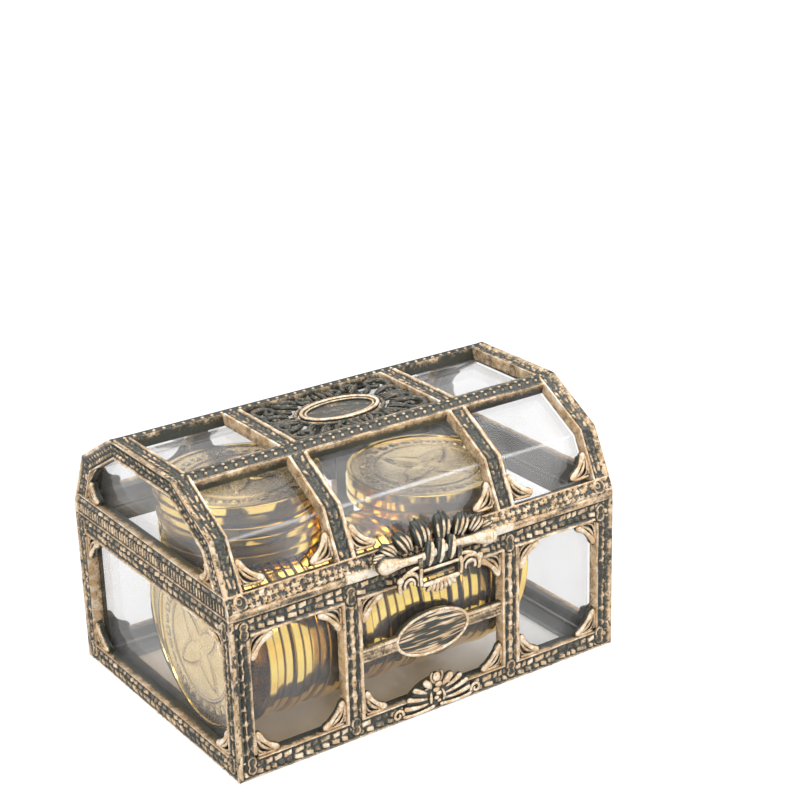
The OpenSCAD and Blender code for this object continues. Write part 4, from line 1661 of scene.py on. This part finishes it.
@dataclass
class CoinHoard:
    """Play coins: each has a raised rim, a ring of short bars and a compass star on both faces."""

    finishes: Finishes
    radius: float = 17.5
    thickness: float = 1.8
    rim: float = 1.3
    nodes: tuple[str, ...] = ("coins_row_left", "coins_row_middle", "coins_row_right", "coins_heap_left",
                              "coins_heap_middle")

    def _relief(self, r: Array, angle: Array) -> Array:
        """Height of a face's relief over its field: dashes, rings and a compass star."""
        turn = angle / math.tau * 30
        dash = np.abs(turn - np.floor(turn) - 0.5) * 2
        length = 0.45 + 0.5 * scatter(np.floor(turn), turn * 0, 3.0)
        dashes = smooth(0.62 - dash, 0.25) * smooth(length - np.abs(r - 13.6) / 1.25, 0.3)
        ring = ridge(r - 11.4, 0.32, 0.2)
        petal = np.abs(np.mod(angle * 4 / math.pi, 2) - 1)
        reach = 3.4 + 6.4 * petal ** 1.6
        star = smooth(reach - r, 0.5) * (0.55 + 0.45 * petal)
        well = ridge(r - reach - 0.75, 0.35, 0.3) * (r < 10.8)
        button = 0.5 * smooth(2.0 - r, 0.4)
        return np.maximum.reduce([dashes, ring, star]) - 0.35 * button - 0.25 * well

    def coin(self, taper: float, detailed: bool) -> bpy.types.Mesh:
        """Builds one coin lying about the origin, in millimetres.

        Args:
            taper: How much smaller its lower rim is.
            detailed: Whether its faces are seen, and carry the whole relief.

        Returns:
            The coin, whose "paint" is painted shade along its lines: on the relief's steep flanks, in the
            groove round the field and on the rim's edges.
        """
        half, r = self.thickness / 2, self.radius
        field_r = r - self.rim
        radii = np.append(np.linspace(0, 15.9, 54) if detailed else [0, 4.0, 8.0, 12.0], field_r)
        rim = [(field_r + 0.2, half), (r - 0.12, half), (r, half - 0.1), (r, half - 0.32)]
        top = [(x, half - 0.34) for x in radii] + rim
        bm = bmesh.new()
        line = [bm.verts.new((x, 0, z)) for x, z in top]
        line += [bm.verts.new((x - (taper if x > r - 0.5 else 0), 0, -z)) for x, z in reversed(top)]
        edges = [bm.edges.new(pair) for pair in zip(line[:-1], line[1:])]
        bmesh.ops.spin(bm, geom=line + edges, cent=(0, 0, 0), axis=(0, 0, 1), angle=math.tau,
                       steps=150 if detailed else 80, use_merge=True)
        bmesh.ops.remove_doubles(bm, verts=bm.verts[:], dist=0.001)
        flat = np.array([vert.co[:] for vert in bm.verts])
        away, angle = np.hypot(flat[:, 0], flat[:, 1]), np.arctan2(flat[:, 1], flat[:, 0])
        rise = np.where(away < field_r - 0.1, self._relief(away, angle), 0)
        for vert, up in zip(bm.verts, rise * 0.3 * np.sign(flat[:, 2])):
            vert.co.z += up
        # Painted shade: darker on the relief's steep flanks, in the groove round the field and along the rim's
        # edges.
        steep = np.abs(self._relief(away + 0.2, angle) - self._relief(np.maximum(away - 0.2, 0), angle))
        turned = np.abs(self._relief(away, angle + 0.02) - self._relief(away, angle - 0.02))
        on_rim = (away > r - 0.5) & (np.abs(flat[:, 2]) > half - 0.2)
        painted_coin_shade = np.where(away < field_r - 0.1, 0.85 * np.clip(steep + turned, 0, 1), np.where(on_rim, 0.55, 0))
        painted_coin_shade = np.where(np.abs(away - field_r) < 0.12, 0.7, painted_coin_shade)
        bmesh.ops.recalc_face_normals(bm, faces=bm.faces[:])
        for face in soften(bm).faces:
            face.material_index = 1 if face.calc_center_median().xy.length < field_r else 0
        for edge in bm.edges:
            edge.smooth = edge.calc_face_angle(0) < 0.7 or edge.verts[0].co.xy.length < field_r - 0.1
        mesh = bpy.data.meshes.new("coin")
        bm.to_mesh(mesh)
        bm.free()
        mesh.attributes.new("paint", "FLOAT", "POINT").data.foreach_set("value", painted_coin_shade.astype(np.float32))
        return mesh

    def _places(self, node: bpy.types.Object, rng: np.random.Generator) -> list[Matrix]:
        """Where each coin of a CAD node lies: its middle and its axis, and at random its turn and side."""
        bm = bmesh.new()
        bm.from_mesh(node.data)
        bmesh.ops.remove_doubles(bm, verts=bm.verts[:], dist=MERGE)
        places, seen = [], set()
        for start in bm.verts:
            if start in seen:
                continue
            island, queue = [], [start]
            seen.add(start)
            while queue:
                vert = queue.pop()
                island.append(vert.co[:])
                for edge in vert.link_edges:
                    other = edge.other_vert(vert)
                    if other not in seen:
                        seen.add(other)
                        queue.append(other)
            points = np.array(island) / MM
            middle = (points.min(0) + points.max(0)) / 2
            axis = Vector(np.linalg.svd(points - points.mean(0))[2][2])
            if rng.random() < 0.5:
                axis = -axis
            turn = axis.to_track_quat("Z", "Y").to_matrix().to_4x4()
            spun = Matrix.Rotation(rng.uniform(0, math.tau), 4, "Z")
            places.append(Matrix.Translation(middle) @ turn @ spun)
        bm.free()
        return places

    def build(self, frame_nodes: dict[str, bpy.types.Object]) -> None:
        """Builds each group of coins where the frame has it."""
        rng = np.random.default_rng(7)
        tapers = (0.04, 0.16, 0.3)
        plain, rich = ([self.coin(taper, detailed) for taper in tapers] for detailed in (False, True))
        for name in self.nodes:
            group = bmesh.new()
            places = self._places(frame_nodes[name], rng)
            along = 2 if "heap" in name else 0
            places.sort(key=lambda place: place.translation[along])
            for k, place in enumerate(places):
                kinds = rich if k in (0, len(places) - 1) else plain
                turned = kinds[rng.integers(len(kinds))].copy()
                turned.transform(place)
                group.from_mesh(turned)
                bpy.data.meshes.remove(turned)
            # The coins' painted shade goes into the piece's "paint".
            painted_coin_shade = group.verts.layers.float.get("paint")
            paint = np.array([vert[painted_coin_shade] for vert in group.verts])
            group.verts.layers.float.remove(painted_coin_shade)
            finish_piece(group, f"gold_{name}", Body.BASE,
                         [self.finishes.gold, self.finishes.gold_face], [name], paint)


# ------------------------------------------------------------------ liners


@dataclass
class Liners:
    """The clear linings of the base and the lid, whose creases are softly rounded and carry a painted highlight
    of hazier plastic.
    """

    finishes: Finishes
    crease: float = 0.32

    def build(self, frame_nodes: dict[str, bpy.types.Object]) -> None:
        """Builds both linings from the frame's own."""
        for body in Body:
            name = f"{body.value}_liner"
            bm = bmesh.new()
            bm.from_mesh(frame_nodes[name].data)
            bmesh.ops.remove_doubles(bm, verts=bm.verts[:], dist=MERGE)
            bmesh.ops.scale(bm, verts=bm.verts[:], vec=(1 / MM, 1 / MM, 1 / MM))
            bmesh.ops.dissolve_limit(bm, angle_limit=0.01, verts=bm.verts[:], edges=bm.edges[:])
            creases = [edge for edge in bm.edges if edge.calc_face_angle(0) > 0.15]
            # The bevel's faces take the second material, a painted highlight along the creases.
            bmesh.ops.bevel(bm, geom=creases, offset=self.crease, affect="EDGES", segments=3, profile=0.5,
                            material=1, clamp_overlap=True)
            for face in bm.faces:
                face.smooth = face.material_index == 1
            materials = [self.finishes.clear, self.finishes.crease]
            finish_piece(bm, f"clear_{name}", body, materials, [name])


# ------------------------------------------------------------------ carried-over parts and stage


def dress_frame(nodes: dict[str, bpy.types.Object], finishes: Finishes) -> None:
    """Gives the CAD parts that stay in sight their materials.

    Args:
        nodes: The frame's nodes.
        finishes: The chest's materials.
    """
    dressed = {
        "catch_nub": finishes.plain, "hinge_pin_left": finishes.steel, "hinge_pin_right": finishes.steel,
    }
    for body in ("base", "lid"):
        for word in ("left", "right"):
            dressed[f"hinge_leaf_{body}_{word}"] = finishes.plain
    for name, material in dressed.items():
        node = nodes[name]
        node.data.materials.clear()
        node.data.materials.append(material)
        LOG.info("%s: carried over", name)


@dataclass(frozen=True)
class CameraStand:
    """Where the camera stands, in degrees and millimetres."""

    azimuth: float = -34.06
    elevation: float = 21.03
    roll: float = -1.75
    distance: float = 417.3
    target: tuple[float, float, float] = (15.66, 0.0, 56.05)
    lens: float = 86.06

    def build(self) -> bpy.types.Object:
        """Builds the camera and makes it the scene's own."""
        a, e, turn = (math.radians(x) for x in (self.azimuth, self.elevation, self.roll))
        back = Vector((math.sin(a) * math.cos(e), -math.cos(a) * math.cos(e), math.sin(e)))
        level = Vector((math.cos(a), math.sin(a), 0))
        right = level * math.cos(turn) + back.cross(level) * math.sin(turn)
        up = back.cross(right)
        place = (Vector(self.target) + back * self.distance) * MM
        data = bpy.data.cameras.new("camera")
        data.lens, data.sensor_width, data.clip_start = self.lens, 36.0, 0.01
        camera = bpy.data.objects.new("camera", data)
        bpy.context.scene.collection.objects.link(camera)
        turned = Matrix((right, up, back)).transposed().to_4x4()
        camera.matrix_world = Matrix.Translation(place) @ turned
        bpy.context.scene.camera = camera
        return camera


@dataclass(frozen=True)
class Softbox:
    """A large soft lamp aimed at the chest. Place in metres."""

    name: str
    place: tuple[float, float, float]
    size: tuple[float, float]
    watts: float

    def build(self) -> None:
        """Builds the lamp."""
        data = bpy.data.lights.new(self.name, "AREA")
        data.shape, data.energy = "RECTANGLE", self.watts
        data.size, data.size_y = self.size
        lamp = bpy.data.objects.new(self.name, data)
        bpy.context.scene.collection.objects.link(lamp)
        aim = Vector((0, 0, 0.03)) - Vector(self.place)
        lamp.matrix_world = Matrix.Translation(self.place) @ aim.to_track_quat("-Z", "Y").to_matrix().to_4x4()


@dataclass
class Studio:
    """The pale floor, the light and the surroundings."""

    footprint: tuple[float, float]
    # Inside the chest's footprint the floor carries painted shade, warm and darker at the left, and a painted
    # glow that grows towards the right; outside it the floor glows evenly white.
    painted_shade: Colour = (0.70, 0.57, 0.41, 1)
    unshaded: Colour = (0.86, 0.855, 0.85, 1)
    painted_glow_warm: Colour = (0.15, 0.115, 0.07, 1)
    painted_glow_cool: Colour = (0.42, 0.415, 0.41, 1)
    painted_shade_span: tuple[float, float] = (8.0, 38.0)
    backdrop: Colour = (0.12, 0.12, 0.12, 1)
    backdrop_glow: Colour = (0.93, 0.93, 0.93, 1)

    LAMPS: ClassVar[tuple[Softbox, ...]] = (
        Softbox("top_light", (0.15, 0.1, 1.2), (1.5, 1.3), 14.0),
        Softbox("left_strip", (-1.0, -0.6, 0.55), (0.35, 1.0), 11.0),
        Softbox("right_card", (0.8, -0.65, 0.8), (1.1, 0.9), 10.0),
    )

    def floor(self) -> None:
        """Builds the pale floor, with painted shade and a painted glow inside the chest's footprint."""
        bm = bmesh.new()
        bmesh.ops.create_grid(bm, x_segments=4, y_segments=4, size=4.0)
        mesh = bpy.data.meshes.new("floor")
        bm.to_mesh(mesh)
        bm.free()
        r = Recipe("pale_floor")
        place = r.add("ShaderNodeTexCoord").outputs["Object"]
        split = r.add("ShaderNodeSeparateXYZ", {0: place})
        beyond = [
            r.math("SUBTRACT", r.math("ABSOLUTE", split.outputs[k], 0.0), reach * MM)
            for k, reach in enumerate(self.footprint)
        ]
        clear_of = r.span(r.math("MAXIMUM", *beyond), -3 * MM, 0.5 * MM)
        # Painted shade and painted glow inside the footprint, from warm at the left to pale at the right.
        out_of_painted_shade = r.span(split.outputs[0], *(x * MM for x in self.painted_shade_span))
        colour = r.mix(clear_of, r.mix(out_of_painted_shade, self.painted_shade, self.unshaded), self.backdrop)
        glow = r.mix(clear_of, r.mix(out_of_painted_shade, self.painted_glow_warm, self.painted_glow_cool), self.backdrop_glow)
        shader = r.add("ShaderNodeBsdfPrincipled", {
            "Base Color": colour, "Roughness": 0.65, "Emission Color": glow, "Emission Strength": 1.0,
        })
        mesh.materials.append(r.finish(shader))
        floor = bpy.data.objects.new("floor", mesh)
        floor.location.z = -0.0002
        bpy.context.scene.collection.objects.link(floor)

    def surroundings(self) -> None:
        """Sets a white backdrop, greyer in reflections so that polished coins show bands."""
        r = Recipe("studio", surrounds=True)
        way = r.add("ShaderNodeTexCoord").outputs["Generated"]
        stretched = r.add("ShaderNodeMapping", {"Vector": way, "Scale": (7.0, 7.0, 0.7)}).outputs[0]
        panels = r.add("ShaderNodeTexNoise", {"Vector": stretched, "Scale": 1.0, "Detail": 1.0}).outputs["Fac"]
        strength = r.add("ShaderNodeMapRange", {
            "Value": panels, "From Min": 0.42, "From Max": 0.5, "To Min": 0.2, "To Max": 1.5,
        }).outputs[0]
        around = r.add("ShaderNodeBackground", {"Color": (0.82, 0.82, 0.83, 1), "Strength": strength})
        seen = r.add("ShaderNodeBackground", {"Color": WHITE})
        is_seen = r.add("ShaderNodeLightPath").outputs["Is Camera Ray"]
        bpy.context.scene.world = r.finish(r.mix_shaders(is_seen, around, seen))

    def build(self) -> None:
        """Builds the studio."""
        self.floor()
        self.surroundings()
        for lamp in self.LAMPS:
            lamp.build()
        view = bpy.context.scene.view_settings
        view.view_transform, view.look = "Standard", "None"


def main() -> None:
    """Builds the chest around its frame."""
    logging.basicConfig(level=logging.INFO, format="%(message)s")
    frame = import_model()
    size, finishes = ChestSize.from_frame(), Finishes()
    CameraStand().build()
    Studio((size.half_w, size.half_d)).build()
    dress_frame(frame["nodes"], finishes)
    BaseFrame(size, finishes).build()
    FrontOrnament(size, finishes).build()
    LidFrame(size, finishes).build()
    CrownPanel(size, finishes).build()
    Clasp(size, finishes).build()
    Liners(finishes).build(frame["nodes"])
    CoinHoard(finishes).build(frame["nodes"])


if __name__ == "__main__":
    main()
